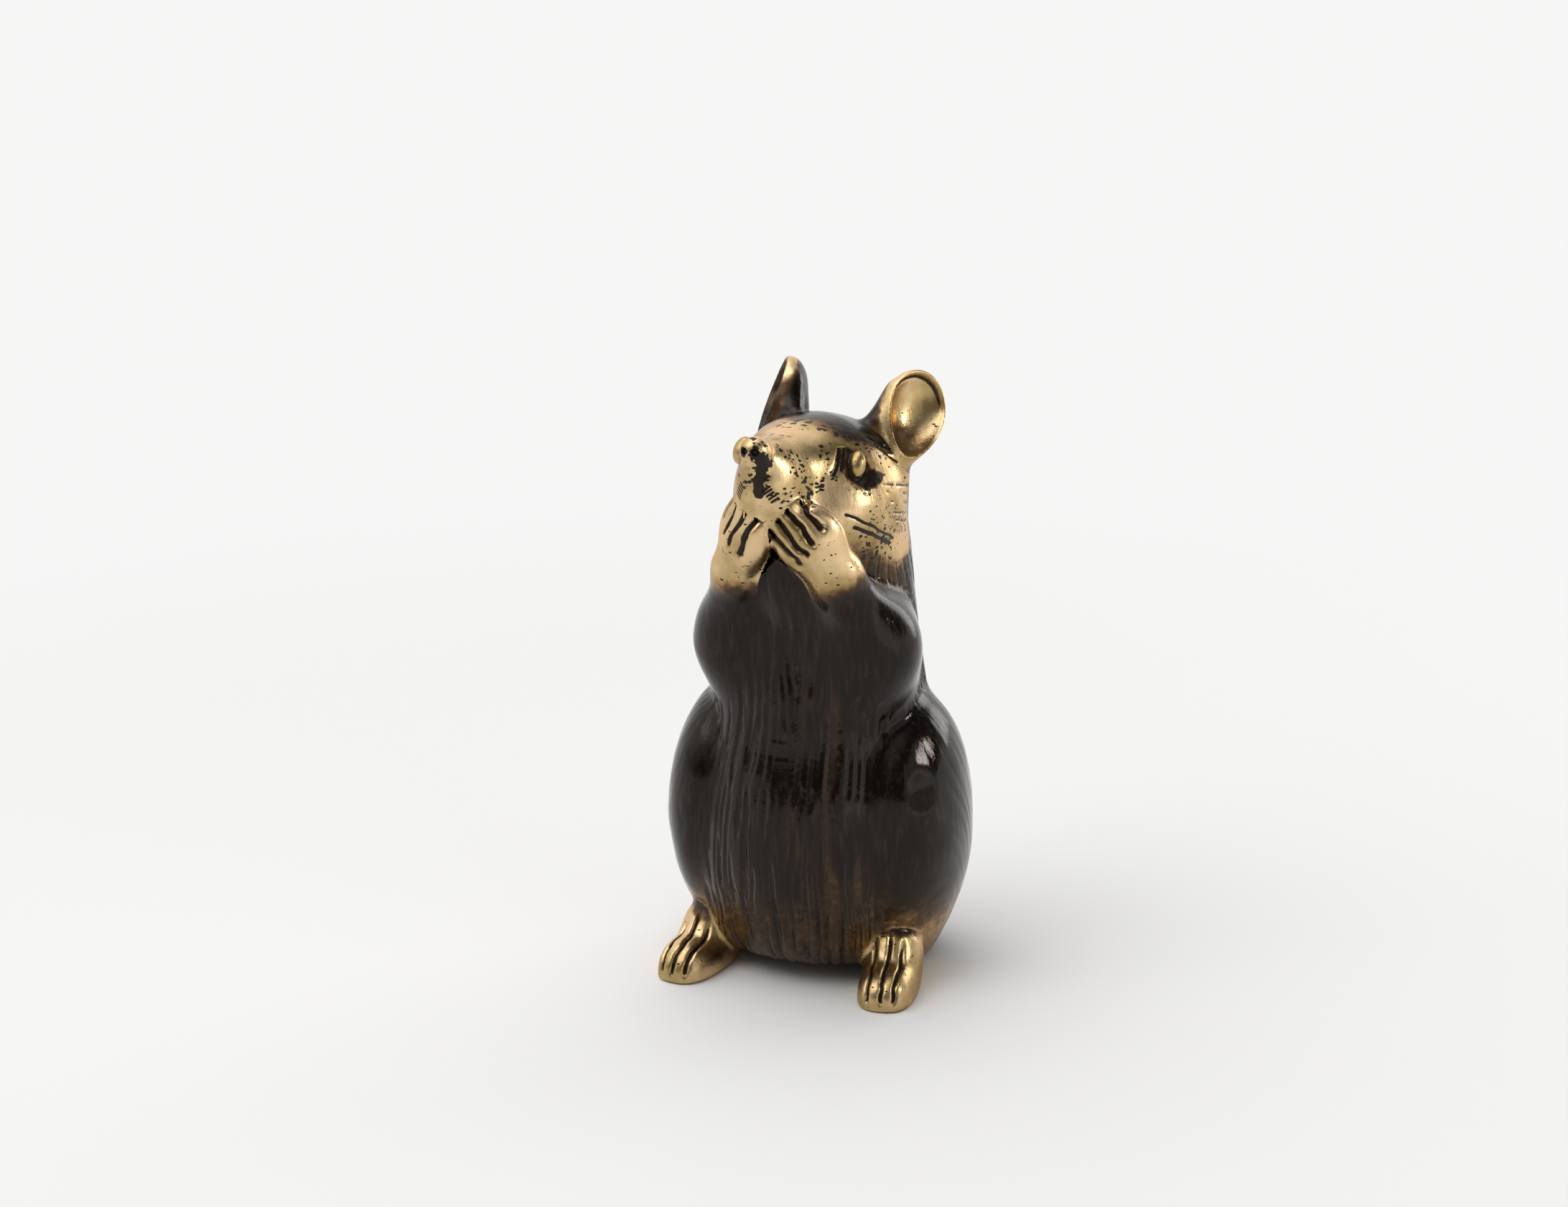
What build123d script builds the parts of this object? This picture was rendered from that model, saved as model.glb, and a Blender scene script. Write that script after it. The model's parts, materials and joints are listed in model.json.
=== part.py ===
"""A sitting mouse in cast bronze, about 80 mm tall, cast in sections that are pinned and brazed together.

Millimetres, +Z up. The mouse stands on the plane z = 0 and faces -Y, and its left side is +X.
"""
import os

from build123d import *

os.makedirs("parts", exist_ok=True)

# Torso: a pear-shaped hollow casting with a flat rump
TORSO_HEIGHT = 67.0
TORSO_WIDTH = 34.0
TORSO_DEPTH = 36.0
NECK_OVERLAP = 10.0
NECK_SEAM_HEIGHT = TORSO_HEIGHT - NECK_OVERLAP
WALL = 2.5
# Each section: height, set-back, half width, half depth, as shares of the height, depth, width and depth
TORSO_SECTION_SHARES = [
    (0.00, 0.140, 0.295, 0.278),
    (0.06, 0.050, 0.410, 0.405),
    (0.18, 0.017, 0.480, 0.478),
    (0.33, 0.014, 0.500, 0.500),
    (0.51, 0.028, 0.435, 0.433),
    (0.67, 0.033, 0.382, 0.383),
    (0.81, 0.042, 0.347, 0.350),
    (0.91, 0.060, 0.318, 0.317),
    (1.00, 0.067, 0.253, 0.250),
]

# Haunches: two swellings on the sides of the torso
HAUNCH_WIDTH = 17.6
HAUNCH_DEPTH = 28.0
HAUNCH_HEIGHT = 36.0
HAUNCH_SPLAY = 8.0
HAUNCH_LEAN = 8.0
HAUNCH_ACROSS_SHARE = 0.347
HAUNCH_BACK_SHARE = 0.055
HAUNCH_UP_SHARE = 0.306

# Head: a round skull and a loft along the cheeks and snout, raised and turned a little to the mouse's right
SKULL_WIDTH = 21.6
SKULL_LENGTH = 25.0
SKULL_HEIGHT = 17.2
SKULL_BACK_SHARE = 0.03
HEAD_LENGTH = 32.0
HEAD_WIDTH = 22.0
HEAD_HEIGHT = 20.0
HEAD_RISE = 9.8
HEAD_SETBACK = 1.2
HEAD_TURN = -7.0
HEAD_TILT = -22.0
# Each section: forward, half width, half height, rise, as shares of the length, width, height and height
HEAD_SECTION_SHARES = [
    (-0.190, 0.425, 0.365, -0.010),
    (-0.030, 0.488, 0.470, -0.050),
    (0.080, 0.510, 0.490, -0.070),
    (0.190, 0.470, 0.450, -0.090),
    (0.310, 0.330, 0.390, -0.160),
    (0.440, 0.220, 0.290, -0.130),
    (0.550, 0.164, 0.235, -0.125),
    (0.610, 0.118, 0.135, -0.055),
]
NOSE_WIDTH = 5.0
NOSE_LENGTH = 4.6
NOSE_FORWARD_SHARE = 0.65
NOSE_RISE_SHARE = -0.01

# Neck joint: a spigot on the torso in a socket under the head
SPIGOT_DIAMETER = 10.0
SPIGOT_HEIGHT = 5.0
SPIGOT_CLEARANCE = 0.05
CORE_VENT_DIAMETER = 5.0

# Ears: thin cups on short roots
EAR_WIDTH = 10.0
EAR_HEIGHT = 13.2
EAR_DEPTH = 7.2
EAR_RIM = 0.9
EAR_HOLLOW_DEPTH = 8.0
EAR_HOLLOW_FORWARD = 2.6
EAR_TURN = 58.0
EAR_LEAN = -10.0
EAR_ROLL = 14.0
EAR_ACROSS_SHARE = 0.455
EAR_BACK_SHARE = 0.08
EAR_UP_SHARE = 0.48
EAR_ROOT_DIAMETER = 8.0
EAR_NECK_DIAMETER = 4.4
# Foot and top of the root from the middle of the ear, as shares of the ear's width, width and height
EAR_ROOT_FOOT_SHARES = (-0.33, 0.00, -0.54)
EAR_ROOT_TOP_SHARES = (-0.15, 0.08, -0.12)

# Eyes: oval beads let into the head on short stems
EYE_WIDTH = 3.4
EYE_HEIGHT = 3.2
EYE_DEPTH = 2.4
EYE_STEM_DIAMETER = 1.4
EYE_STEM_LENGTH = 2.6
EYE_CLEARANCE = 0.03
EYE_TURN = 55.0
EYE_ACROSS_SHARE = 0.375
EYE_FORWARD_SHARE = 0.253
EYE_UP_SHARE = 0.055

# Forelegs: an upper arm on the chest, a forearm and a hand held up to the mouth
ELBOW_WIDTH = 11.6
ELBOW_DEPTH = 15.0
ELBOW_HEIGHT = 16.0
ELBOW_ACROSS_SHARE = 0.282
ELBOW_FORWARD_SHARE = 0.139
ELBOW_UP_SHARE = 0.672
MOUTH_ACROSS_SHARE = 0.04
MOUTH_FORWARD_SHARE = 0.5625
MOUTH_DOWN_SHARE = 0.375
FORELEG_REACH = 20.0
FOREARM_DIAMETER = 10.8
WRIST_DIAMETER = 6.8
PALM_DIAMETER = 6.0
HAND_WIDTH = 7.6
HAND_LENGTH = 11.0
HAND_THICKNESS = 5.8
# Outwards, backwards and downwards from the mouth, as shares of the reach
WRIST_SHARES = (0.31, 0.29, 0.53)
PALM_SHARES = (0.20, 0.10, 0.28)
FINGERTIP_SHARES = (0.095, 0.00, 0.04)
HAND_GAP = 0.1

# Hind feet: flat-soled, with grooves between the toes
FOOT_LENGTH = 15.6
FOOT_WIDTH = 8.6
FOOT_HEIGHT = 6.4
SOLE_DEPTH = 2.4
ANKLE_LENGTH = 10.4
ANKLE_HEIGHT = 9.2
FOOT_SPLAY = 6.0
FOOT_ACROSS_SHARE = 0.403
FOOT_FORWARD_SHARE = 0.31
ANKLE_BACK_SHARE = 0.25
TOE_COUNT = 4
TOE_GROOVE_WIDTH = 0.6
TOE_GROOVE_LENGTH = 6.0
TOE_GROOVE_FLOOR = 3.4

# Tail: tapers round the rump on the mouse's right side
TAIL_DIAMETER = 5.6
# Each section: across, back, height, diameter, as shares of the torso's width and depth and the tail's diameter
TAIL_SECTION_SHARES = [
    (0.00, 0.400, 0.90, 1.00),
    (-0.09, 0.480, 0.62, 0.96),
    (-0.22, 0.515, 0.44, 0.82),
    (-0.36, 0.450, 0.35, 0.68),
    (-0.47, 0.320, 0.28, 0.54),
]

# Base plate: a disc that closes the core opening under the rump
BASE_PLATE_DIAMETER = 12.0
BASE_PLATE_THICKNESS = 1.6
BASE_PLATE_CLEARANCE = 0.05
CORE_OPENING_DIAMETER = 9.0

# Core plugs: square plugs where the core's pins passed through the wall
CORE_PLUG_SIDE = 2.2
CORE_PLUG_UP_SHARE = 0.505
CORE_PLUG_ACROSS_SHARE = -0.018

# Pins between the sections
PIN_CLEARANCE = 0.05
PIN_END_GAP = 0.2
EAR_PIN_DIAMETER = 1.6
EAR_PIN_LENGTH = 4.0
FORELEG_PIN_DIAMETER = 2.0
FORELEG_PIN_LENGTH = 5.0
FOOT_PIN_DIAMETER = 2.0
FOOT_PIN_LENGTH = 8.0
TAIL_PIN_DIAMETER = 2.0
TAIL_PIN_LENGTH = 4.4

# Cuts run this far past what they cut
OVERRUN = 40.0

LEFT = 1
RIGHT = -1
SEAM_PLANE = Plane.XY.offset(NECK_SEAM_HEIGHT)
HEAD_PLACE = Pos(0, HEAD_SETBACK, NECK_SEAM_HEIGHT + HEAD_RISE) * Rot(Z=HEAD_TURN) * Rot(X=HEAD_TILT)
HEAD_PLANE = Plane(HEAD_PLACE)
HEAD_MIDDLE_PLANE = Plane(origin=HEAD_PLANE.origin, x_dir=HEAD_PLANE.y_dir, z_dir=HEAD_PLANE.x_dir)
SNOUT_PLANE = Plane(origin=HEAD_PLANE.origin, x_dir=HEAD_PLANE.x_dir, z_dir=-HEAD_PLANE.y_dir)


def ellipsoid(place, width, depth, height):
    """An ellipsoid of the given full sizes, moved to a place."""
    with BuildPart() as blank:
        Sphere(1)
        scale(by=(width / 2, depth / 2, height / 2))
    return blank.part.moved(place)


def rod(place, diameter, length):
    """A cylinder centred on a place, along the place's own Z."""
    with BuildPart() as blank:
        Cylinder(diameter / 2, length)
    return blank.part.moved(place)


def pin_and_hole(place, diameter, length):
    """A pin and the longer, wider hole that it sits in."""
    pin = rod(place, diameter, length)
    hole = rod(place, diameter + 2 * PIN_CLEARANCE, length + 2 * PIN_END_GAP)
    return pin, hole


def mirrored(shape, plane):
    """The shape's mirror image alone."""
    with BuildPart() as image:
        mirror(shape, about=plane)
    return image.part


def finish(shape, name):
    """Label a finished piece and write it."""
    shape.label = name
    export_step(shape, f"parts/{name}.step")
    print(name, "solids", len(shape.solids()), "volume", round(shape.volume, 1), "valid", shape.is_valid)


# Torso form: the outside of the body, with its haunches
haunches = []
for side in (LEFT, RIGHT):
    haunch_place = (
        Pos(
            side * HAUNCH_ACROSS_SHARE * TORSO_WIDTH,
            HAUNCH_BACK_SHARE * TORSO_DEPTH,
            HAUNCH_UP_SHARE * TORSO_HEIGHT,
        )
        * Rot(Z=side * HAUNCH_SPLAY)
        * Rot(X=HAUNCH_LEAN)
    )
    haunches.append(ellipsoid(haunch_place, HAUNCH_WIDTH, HAUNCH_DEPTH, HAUNCH_HEIGHT))

with BuildPart() as torso_form:
    for up, back, half_width, half_depth in TORSO_SECTION_SHARES:
        with BuildSketch(Plane.XY.offset(up * TORSO_HEIGHT)):
            with Locations((0, back * TORSO_DEPTH)):
                Ellipse(half_width * TORSO_WIDTH, half_depth * TORSO_DEPTH)
    loft()
    add(haunches)

# The core that leaves the torso hollow
with BuildPart() as torso_core:
    for up, back, half_width, half_depth in TORSO_SECTION_SHARES:
        if WALL < up * TORSO_HEIGHT < NECK_SEAM_HEIGHT - WALL:
            with BuildSketch(Plane.XY.offset(up * TORSO_HEIGHT)):
                with Locations((0, back * TORSO_DEPTH)):
                    Ellipse(half_width * TORSO_WIDTH - WALL, half_depth * TORSO_DEPTH - WALL)
    loft()

# Head form: the skull and snout on the top of the neck
skull_place = HEAD_PLACE * Pos(0, SKULL_BACK_SHARE * HEAD_LENGTH, 0)
skull = ellipsoid(skull_place, SKULL_WIDTH, SKULL_LENGTH, SKULL_HEIGHT)
nose_place = HEAD_PLACE * Pos(0, -NOSE_FORWARD_SHARE * HEAD_LENGTH, NOSE_RISE_SHARE * HEAD_HEIGHT)
nose = ellipsoid(nose_place, NOSE_WIDTH, NOSE_LENGTH, NOSE_WIDTH)

with BuildPart() as head_form:
    for forward, half_width, half_height, rise in HEAD_SECTION_SHARES:
        with BuildSketch(SNOUT_PLANE.offset(forward * HEAD_LENGTH)):
            with Locations((0, rise * HEAD_HEIGHT)):
                Ellipse(half_width * HEAD_WIDTH, half_height * HEAD_HEIGHT)
    loft()
    add(skull)
    add(nose)
    add(torso_form.part)
    split(bisect_by=SEAM_PLANE, keep=Keep.TOP)

with BuildPart() as head_core:
    for forward, half_width, half_height, rise in HEAD_SECTION_SHARES[:-3]:
        with BuildSketch(SNOUT_PLANE.offset(forward * HEAD_LENGTH)):
            with Locations((0, rise * HEAD_HEIGHT)):
                Ellipse(half_width * HEAD_WIDTH - WALL, half_height * HEAD_HEIGHT - WALL)
    loft()

# Ears: a cup hollowed from the front, on a root that is cut to the head
ear_place = (
    HEAD_PLACE
    * Pos(EAR_ACROSS_SHARE * HEAD_WIDTH, EAR_BACK_SHARE * HEAD_LENGTH, EAR_UP_SHARE * HEAD_HEIGHT)
)
ear_turned = ear_place * Rot(Z=EAR_TURN) * Rot(X=EAR_LEAN) * Rot(Y=EAR_ROLL)
ear_hollow_place = ear_turned * Pos(0, -EAR_HOLLOW_FORWARD, 0)
ear_bowl = ellipsoid(ear_turned, EAR_WIDTH, EAR_DEPTH, EAR_HEIGHT)
ear_hollow = ellipsoid(
    ear_hollow_place, EAR_WIDTH - 2 * EAR_RIM, EAR_HOLLOW_DEPTH, EAR_HEIGHT - 2 * EAR_RIM
)
root_foot = (ear_place * Pos(*[
    share * size for share, size in zip(EAR_ROOT_FOOT_SHARES, (EAR_WIDTH, EAR_WIDTH, EAR_HEIGHT))
])).position
root_top = (ear_place * Pos(*[
    share * size for share, size in zip(EAR_ROOT_TOP_SHARES, (EAR_WIDTH, EAR_WIDTH, EAR_HEIGHT))
])).position
root_direction = (root_top - root_foot).normalized()
ear_pin_place = Plane(
    origin=(root_foot + root_top) / 2, x_dir=HEAD_PLANE.y_dir, z_dir=root_direction
).location
left_ear_pin, left_ear_hole = pin_and_hole(ear_pin_place, EAR_PIN_DIAMETER, EAR_PIN_LENGTH)
right_ear_pin = mirrored(left_ear_pin, HEAD_MIDDLE_PLANE)
right_ear_hole = mirrored(left_ear_hole, HEAD_MIDDLE_PLANE)

with BuildPart() as ear_blank:
    with BuildSketch(Plane(origin=root_foot, x_dir=HEAD_PLANE.y_dir, z_dir=root_direction)):
        Circle(EAR_ROOT_DIAMETER / 2)
    with BuildSketch(Plane(origin=root_top, x_dir=HEAD_PLANE.y_dir, z_dir=root_direction)):
        Circle(EAR_NECK_DIAMETER / 2)
    loft()
    add(ear_bowl)
    add(ear_hollow, mode=Mode.SUBTRACT)
right_ear_blank = mirrored(ear_blank.part, HEAD_MIDDLE_PLANE)

with BuildPart() as left_ear:
    add(ear_blank.part)
    add(head_form.part, mode=Mode.SUBTRACT)
    add(left_ear_hole, mode=Mode.SUBTRACT)

with BuildPart() as right_ear:
    add(right_ear_blank)
    add(head_form.part, mode=Mode.SUBTRACT)
    add(right_ear_hole, mode=Mode.SUBTRACT)

with BuildPart() as ear_pins:
    add(left_ear_pin)
    add(right_ear_pin)

# Eyes: the bead's outer half shows, and its stem sits in the head
eye_place = (
    HEAD_PLACE
    * Pos(EYE_ACROSS_SHARE * HEAD_WIDTH, -EYE_FORWARD_SHARE * HEAD_LENGTH, EYE_UP_SHARE * HEAD_HEIGHT)
    * Rot(Z=EYE_TURN)
)
eye_bead = ellipsoid(eye_place, EYE_WIDTH, EYE_DEPTH, EYE_HEIGHT)
eye_bead_socket = ellipsoid(
    eye_place,
    EYE_WIDTH + 2 * EYE_CLEARANCE,
    EYE_DEPTH + 2 * EYE_CLEARANCE,
    EYE_HEIGHT + 2 * EYE_CLEARANCE,
)
eye_stem_place = eye_place * Pos(0, EYE_STEM_LENGTH / 2, 0) * Rot(X=90)
eye_stem = rod(eye_stem_place, EYE_STEM_DIAMETER, EYE_STEM_LENGTH)
eye_stem_hole = rod(eye_stem_place, EYE_STEM_DIAMETER + 2 * EYE_CLEARANCE, EYE_STEM_LENGTH + 2 * PIN_END_GAP)

with BuildPart() as left_eye:
    add(eye_bead)
    add(eye_stem)
right_eye_shape = mirrored(left_eye.part, HEAD_MIDDLE_PLANE)

with BuildPart() as eye_socket:
    add(eye_bead_socket)
    add(eye_stem_hole)
right_eye_socket = mirrored(eye_socket.part, HEAD_MIDDLE_PLANE)

# Head shell: hollow, open below where the torso's spigot enters it
spigot_back = TORSO_SECTION_SHARES[-2][1] * TORSO_DEPTH

with BuildPart() as head_shell:
    add(head_form.part)
    add(head_core.part, mode=Mode.SUBTRACT)
    with BuildSketch(SEAM_PLANE):
        with Locations((0, spigot_back)):
            Circle(SPIGOT_DIAMETER / 2 + SPIGOT_CLEARANCE)
    extrude(amount=SPIGOT_HEIGHT + PIN_END_GAP, mode=Mode.SUBTRACT)
    add(eye_socket.part, mode=Mode.SUBTRACT)
    add(right_eye_socket, mode=Mode.SUBTRACT)
    add(left_ear_hole, mode=Mode.SUBTRACT)
    add(right_ear_hole, mode=Mode.SUBTRACT)

# Forelegs: both hands meet on the upright plane through the mouth
mouth = (HEAD_PLACE * Pos(
    MOUTH_ACROSS_SHARE * HEAD_WIDTH, -MOUTH_FORWARD_SHARE * HEAD_LENGTH, -MOUTH_DOWN_SHARE * HEAD_HEIGHT
)).position
foreleg_parts = {}
foreleg_pin_shapes = []
foreleg_holes = []
for side in (LEFT, RIGHT):
    elbow = Vector(
        side * ELBOW_ACROSS_SHARE * TORSO_WIDTH,
        -ELBOW_FORWARD_SHARE * TORSO_DEPTH,
        ELBOW_UP_SHARE * TORSO_HEIGHT,
    )
    wrist, palm, fingertip = [
        mouth + Vector(side * out * FORELEG_REACH, back * FORELEG_REACH, -down * FORELEG_REACH)
        for out, back, down in (WRIST_SHARES, PALM_SHARES, FINGERTIP_SHARES)
    ]
    joints = [elbow, (elbow + wrist) / 2, wrist, palm]
    diameters = [FOREARM_DIAMETER, (FOREARM_DIAMETER + WRIST_DIAMETER) / 2, WRIST_DIAMETER, PALM_DIAMETER]
    upper_arm = ellipsoid(Pos(*elbow), ELBOW_WIDTH, ELBOW_DEPTH, ELBOW_HEIGHT)
    hand_plane = Plane(origin=(palm + fingertip) / 2, x_dir=(1, 0, 0), z_dir=fingertip - palm)
    hand = ellipsoid(hand_plane.location, HAND_WIDTH, HAND_THICKNESS, HAND_LENGTH)
    pin_place = Pos(*elbow) * Pos(side * FORELEG_PIN_LENGTH / 2, 0, 0) * Rot(Y=90)
    pin, hole = pin_and_hole(pin_place, FORELEG_PIN_DIAMETER, FORELEG_PIN_LENGTH)
    foreleg_pin_shapes.append(pin)
    foreleg_holes.append(hole)
    meeting_plane = Plane(origin=mouth + Vector(side * HAND_GAP / 2, 0, 0), z_dir=(side, 0, 0))
    with BuildPart() as foreleg:
        for index, (joint, diameter) in enumerate(zip(joints, diameters)):
            ahead = joints[min(index + 1, len(joints) - 1)]
            behind = joints[max(index - 1, 0)]
            with BuildSketch(Plane(origin=joint, x_dir=(1, 0, 0), z_dir=ahead - behind)):
                Circle(diameter / 2)
        loft()
        add(upper_arm)
        add(hand)
        split(bisect_by=meeting_plane, keep=Keep.TOP)
        add(torso_form.part, mode=Mode.SUBTRACT)
        add(head_form.part, mode=Mode.SUBTRACT)
        add(hole, mode=Mode.SUBTRACT)
    foreleg_parts[side] = foreleg.part

with BuildPart() as foreleg_pins:
    add(foreleg_pin_shapes)

# Hind feet: a sole and an ankle, cut flat at the floor and cut to the haunch above
foot_parts = {}
foot_pin_shapes = []
foot_holes = []
for side in (LEFT, RIGHT):
    foot_place = (
        Pos(side * FOOT_ACROSS_SHARE * TORSO_WIDTH, -FOOT_FORWARD_SHARE * TORSO_DEPTH, 0)
        * Rot(Z=side * FOOT_SPLAY)
    )
    sole_place = foot_place * Pos(0, 0, SOLE_DEPTH)
    ankle_place = foot_place * Pos(0, ANKLE_BACK_SHARE * FOOT_LENGTH, ANKLE_HEIGHT / 2)
    sole = ellipsoid(sole_place, FOOT_WIDTH, FOOT_LENGTH, 2 * (FOOT_HEIGHT - SOLE_DEPTH))
    ankle = ellipsoid(ankle_place, FOOT_WIDTH, ANKLE_LENGTH, ANKLE_HEIGHT)
    pin_place = ankle_place * Pos(0, FOOT_PIN_DIAMETER, ANKLE_HEIGHT / 4)
    pin, hole = pin_and_hole(pin_place, FOOT_PIN_DIAMETER, FOOT_PIN_LENGTH)
    foot_pin_shapes.append(pin)
    foot_holes.append(hole)
    groove_spacing = FOOT_WIDTH / TOE_COUNT
    groove_plane = Plane(foot_place * Pos(0, -FOOT_LENGTH / 2, TOE_GROOVE_FLOOR))
    with BuildPart() as foot:
        add(sole)
        add(ankle)
        split(bisect_by=Plane.XY, keep=Keep.TOP)
        with BuildSketch(groove_plane):
            with GridLocations(groove_spacing, 0, TOE_COUNT - 1, 1):
                Rectangle(TOE_GROOVE_WIDTH, 2 * TOE_GROOVE_LENGTH)
        extrude(amount=FOOT_HEIGHT, mode=Mode.SUBTRACT)
        add(torso_form.part, mode=Mode.SUBTRACT)
        add(hole, mode=Mode.SUBTRACT)
    foot_parts[side] = foot.part

with BuildPart() as foot_pins:
    add(foot_pin_shapes)

# Tail: a tapering loft cut flat at the floor and cut to the rump
tail_points = [
    Vector(across * TORSO_WIDTH, back * TORSO_DEPTH, up * TAIL_DIAMETER)
    for across, back, up, thickness in TAIL_SECTION_SHARES
]
tail_diameters = [thickness * TAIL_DIAMETER for across, back, up, thickness in TAIL_SECTION_SHARES]
tail_pin_place = Pos(*tail_points[1]) * Rot(X=90) * Pos(0, 0, TAIL_PIN_LENGTH / 4)
tail_pin, tail_hole = pin_and_hole(tail_pin_place, TAIL_PIN_DIAMETER, TAIL_PIN_LENGTH)

with BuildPart() as tail:
    for index, (point, diameter) in enumerate(zip(tail_points, tail_diameters)):
        ahead = tail_points[min(index + 1, len(tail_points) - 1)]
        behind = tail_points[max(index - 1, 0)]
        with BuildSketch(Plane(origin=point, x_dir=(0, 0, 1), z_dir=ahead - behind)):
            Circle(diameter / 2)
    loft()
    split(bisect_by=Plane.XY, keep=Keep.TOP)
    add(torso_form.part, mode=Mode.SUBTRACT)
    add(tail_hole, mode=Mode.SUBTRACT)

# Torso shell: hollow, with the neck spigot, the core opening and the holes for plugs and pins
rump_back = TORSO_SECTION_SHARES[0][1] * TORSO_DEPTH
core_plug_place = Pos(CORE_PLUG_ACROSS_SHARE * TORSO_WIDTH, 0, CORE_PLUG_UP_SHARE * TORSO_HEIGHT)

with BuildPart() as core_plug_holes:
    with BuildSketch(Plane(core_plug_place * Rot(X=90))):
        Rectangle(CORE_PLUG_SIDE, CORE_PLUG_SIDE)
    extrude(amount=OVERRUN, both=True)

with BuildPart() as torso_wall:
    add(torso_form.part)
    split(bisect_by=SEAM_PLANE, keep=Keep.BOTTOM)
    add(torso_core.part, mode=Mode.SUBTRACT)

with BuildPart() as core_plugs:
    add(torso_wall.part)
    add(core_plug_holes.part, mode=Mode.INTERSECT)

with BuildPart() as torso_shell:
    add(torso_wall.part)
    with BuildSketch(SEAM_PLANE):
        with Locations((0, spigot_back)):
            Circle(SPIGOT_DIAMETER / 2)
    extrude(amount=SPIGOT_HEIGHT)
    with BuildSketch(SEAM_PLANE.offset(SPIGOT_HEIGHT)):
        with Locations((0, spigot_back)):
            Circle(CORE_VENT_DIAMETER / 2)
    extrude(amount=-SPIGOT_HEIGHT - 2 * WALL, mode=Mode.SUBTRACT)
    with BuildSketch(Plane.XY):
        with Locations((0, rump_back)):
            Circle(CORE_OPENING_DIAMETER / 2)
    extrude(amount=TORSO_SECTION_SHARES[2][0] * TORSO_HEIGHT, mode=Mode.SUBTRACT)
    with BuildSketch(Plane.XY):
        with Locations((0, rump_back)):
            Circle(BASE_PLATE_DIAMETER / 2)
    extrude(amount=BASE_PLATE_THICKNESS, mode=Mode.SUBTRACT)
    add(core_plug_holes.part, mode=Mode.SUBTRACT)
    add(foreleg_holes, mode=Mode.SUBTRACT)
    add(foot_holes, mode=Mode.SUBTRACT)
    add(tail_hole, mode=Mode.SUBTRACT)

with BuildPart() as base_plate:
    with BuildSketch(Plane.XY):
        with Locations((0, rump_back)):
            Circle(BASE_PLATE_DIAMETER / 2 - BASE_PLATE_CLEARANCE)
    extrude(amount=BASE_PLATE_THICKNESS)

finish(torso_shell.part, "torso_shell")
finish(head_shell.part, "head_shell")
finish(left_ear.part, "left_ear")
finish(right_ear.part, "right_ear")
finish(left_eye.part, "left_eye")
finish(right_eye_shape, "right_eye")
finish(foreleg_parts[LEFT], "left_foreleg")
finish(foreleg_parts[RIGHT], "right_foreleg")
finish(foot_parts[LEFT], "left_hind_foot")
finish(foot_parts[RIGHT], "right_hind_foot")
finish(tail.part, "tail")
finish(base_plate.part, "base_plate")
finish(core_plugs.part, "core_plugs")
finish(ear_pins.part, "ear_pins")
finish(foreleg_pins.part, "foreleg_pins")
finish(foot_pins.part, "foot_pins")
finish(tail_pin, "tail_pin")
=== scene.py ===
# %% [markdown]
# # A bronze mouse, sculpted in code
# The object is a small cast mouse that sits upright with both hands over its mouth. Its body is dark with
# patina, and its face, ears, hands and hind feet are rubbed back to bare metal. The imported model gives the
# pieces, their places and the size of the whole. This script dresses it: it sculpts the flowing skin that a
# wax model has, engraves fingers, toes and fur, and then paints the metal.

# %% Load the frame
import json
import math
import bpy
import numpy as np
from mathutils import Matrix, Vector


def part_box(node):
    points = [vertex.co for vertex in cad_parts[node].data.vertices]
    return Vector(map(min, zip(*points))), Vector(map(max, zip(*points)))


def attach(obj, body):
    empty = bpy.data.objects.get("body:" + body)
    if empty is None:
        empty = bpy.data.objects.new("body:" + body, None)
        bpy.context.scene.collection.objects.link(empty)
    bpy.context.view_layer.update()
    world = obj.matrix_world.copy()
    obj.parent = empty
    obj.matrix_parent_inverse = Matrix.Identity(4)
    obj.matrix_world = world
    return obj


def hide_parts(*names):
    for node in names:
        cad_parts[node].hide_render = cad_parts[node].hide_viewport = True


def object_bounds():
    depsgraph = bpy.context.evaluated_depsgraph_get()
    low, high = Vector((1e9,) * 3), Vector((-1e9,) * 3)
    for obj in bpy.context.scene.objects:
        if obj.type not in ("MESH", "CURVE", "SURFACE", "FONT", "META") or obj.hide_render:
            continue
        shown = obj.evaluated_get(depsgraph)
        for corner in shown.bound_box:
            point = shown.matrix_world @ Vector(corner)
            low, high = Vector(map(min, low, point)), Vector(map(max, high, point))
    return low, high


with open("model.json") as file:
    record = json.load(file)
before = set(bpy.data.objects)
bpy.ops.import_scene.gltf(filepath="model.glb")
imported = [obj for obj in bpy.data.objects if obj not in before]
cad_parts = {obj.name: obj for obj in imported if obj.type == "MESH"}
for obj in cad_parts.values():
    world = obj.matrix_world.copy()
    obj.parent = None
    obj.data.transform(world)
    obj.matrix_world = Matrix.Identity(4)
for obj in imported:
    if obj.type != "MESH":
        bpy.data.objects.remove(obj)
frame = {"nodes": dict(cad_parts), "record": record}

cad_low, cad_high = [np.array(corner, float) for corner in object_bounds()]
SCULPT_HEIGHT = 80.6
MM = (cad_high[2] - cad_low[2]) / SCULPT_HEIGHT
print("frame box", cad_low.round(4), cad_high.round(4), "metres in one clay millimetre", round(MM, 6))

# %% [markdown]
# ## Clay in numbers
# A wax sculptor adds lumps and smooths the joins with a thumb. The same can be done with distance fields:
# each lump is a function that says how far a point is from its skin, and a smooth minimum is the thumb.
# Subdivision modelling could make this mouse too, but a smooth minimum gives the soft joins between arm,
# chest and cheek for free, and one field can later be cut into pieces with no visible seam.

# %% Lumps and smooth joins
FAR = 6.0


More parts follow.
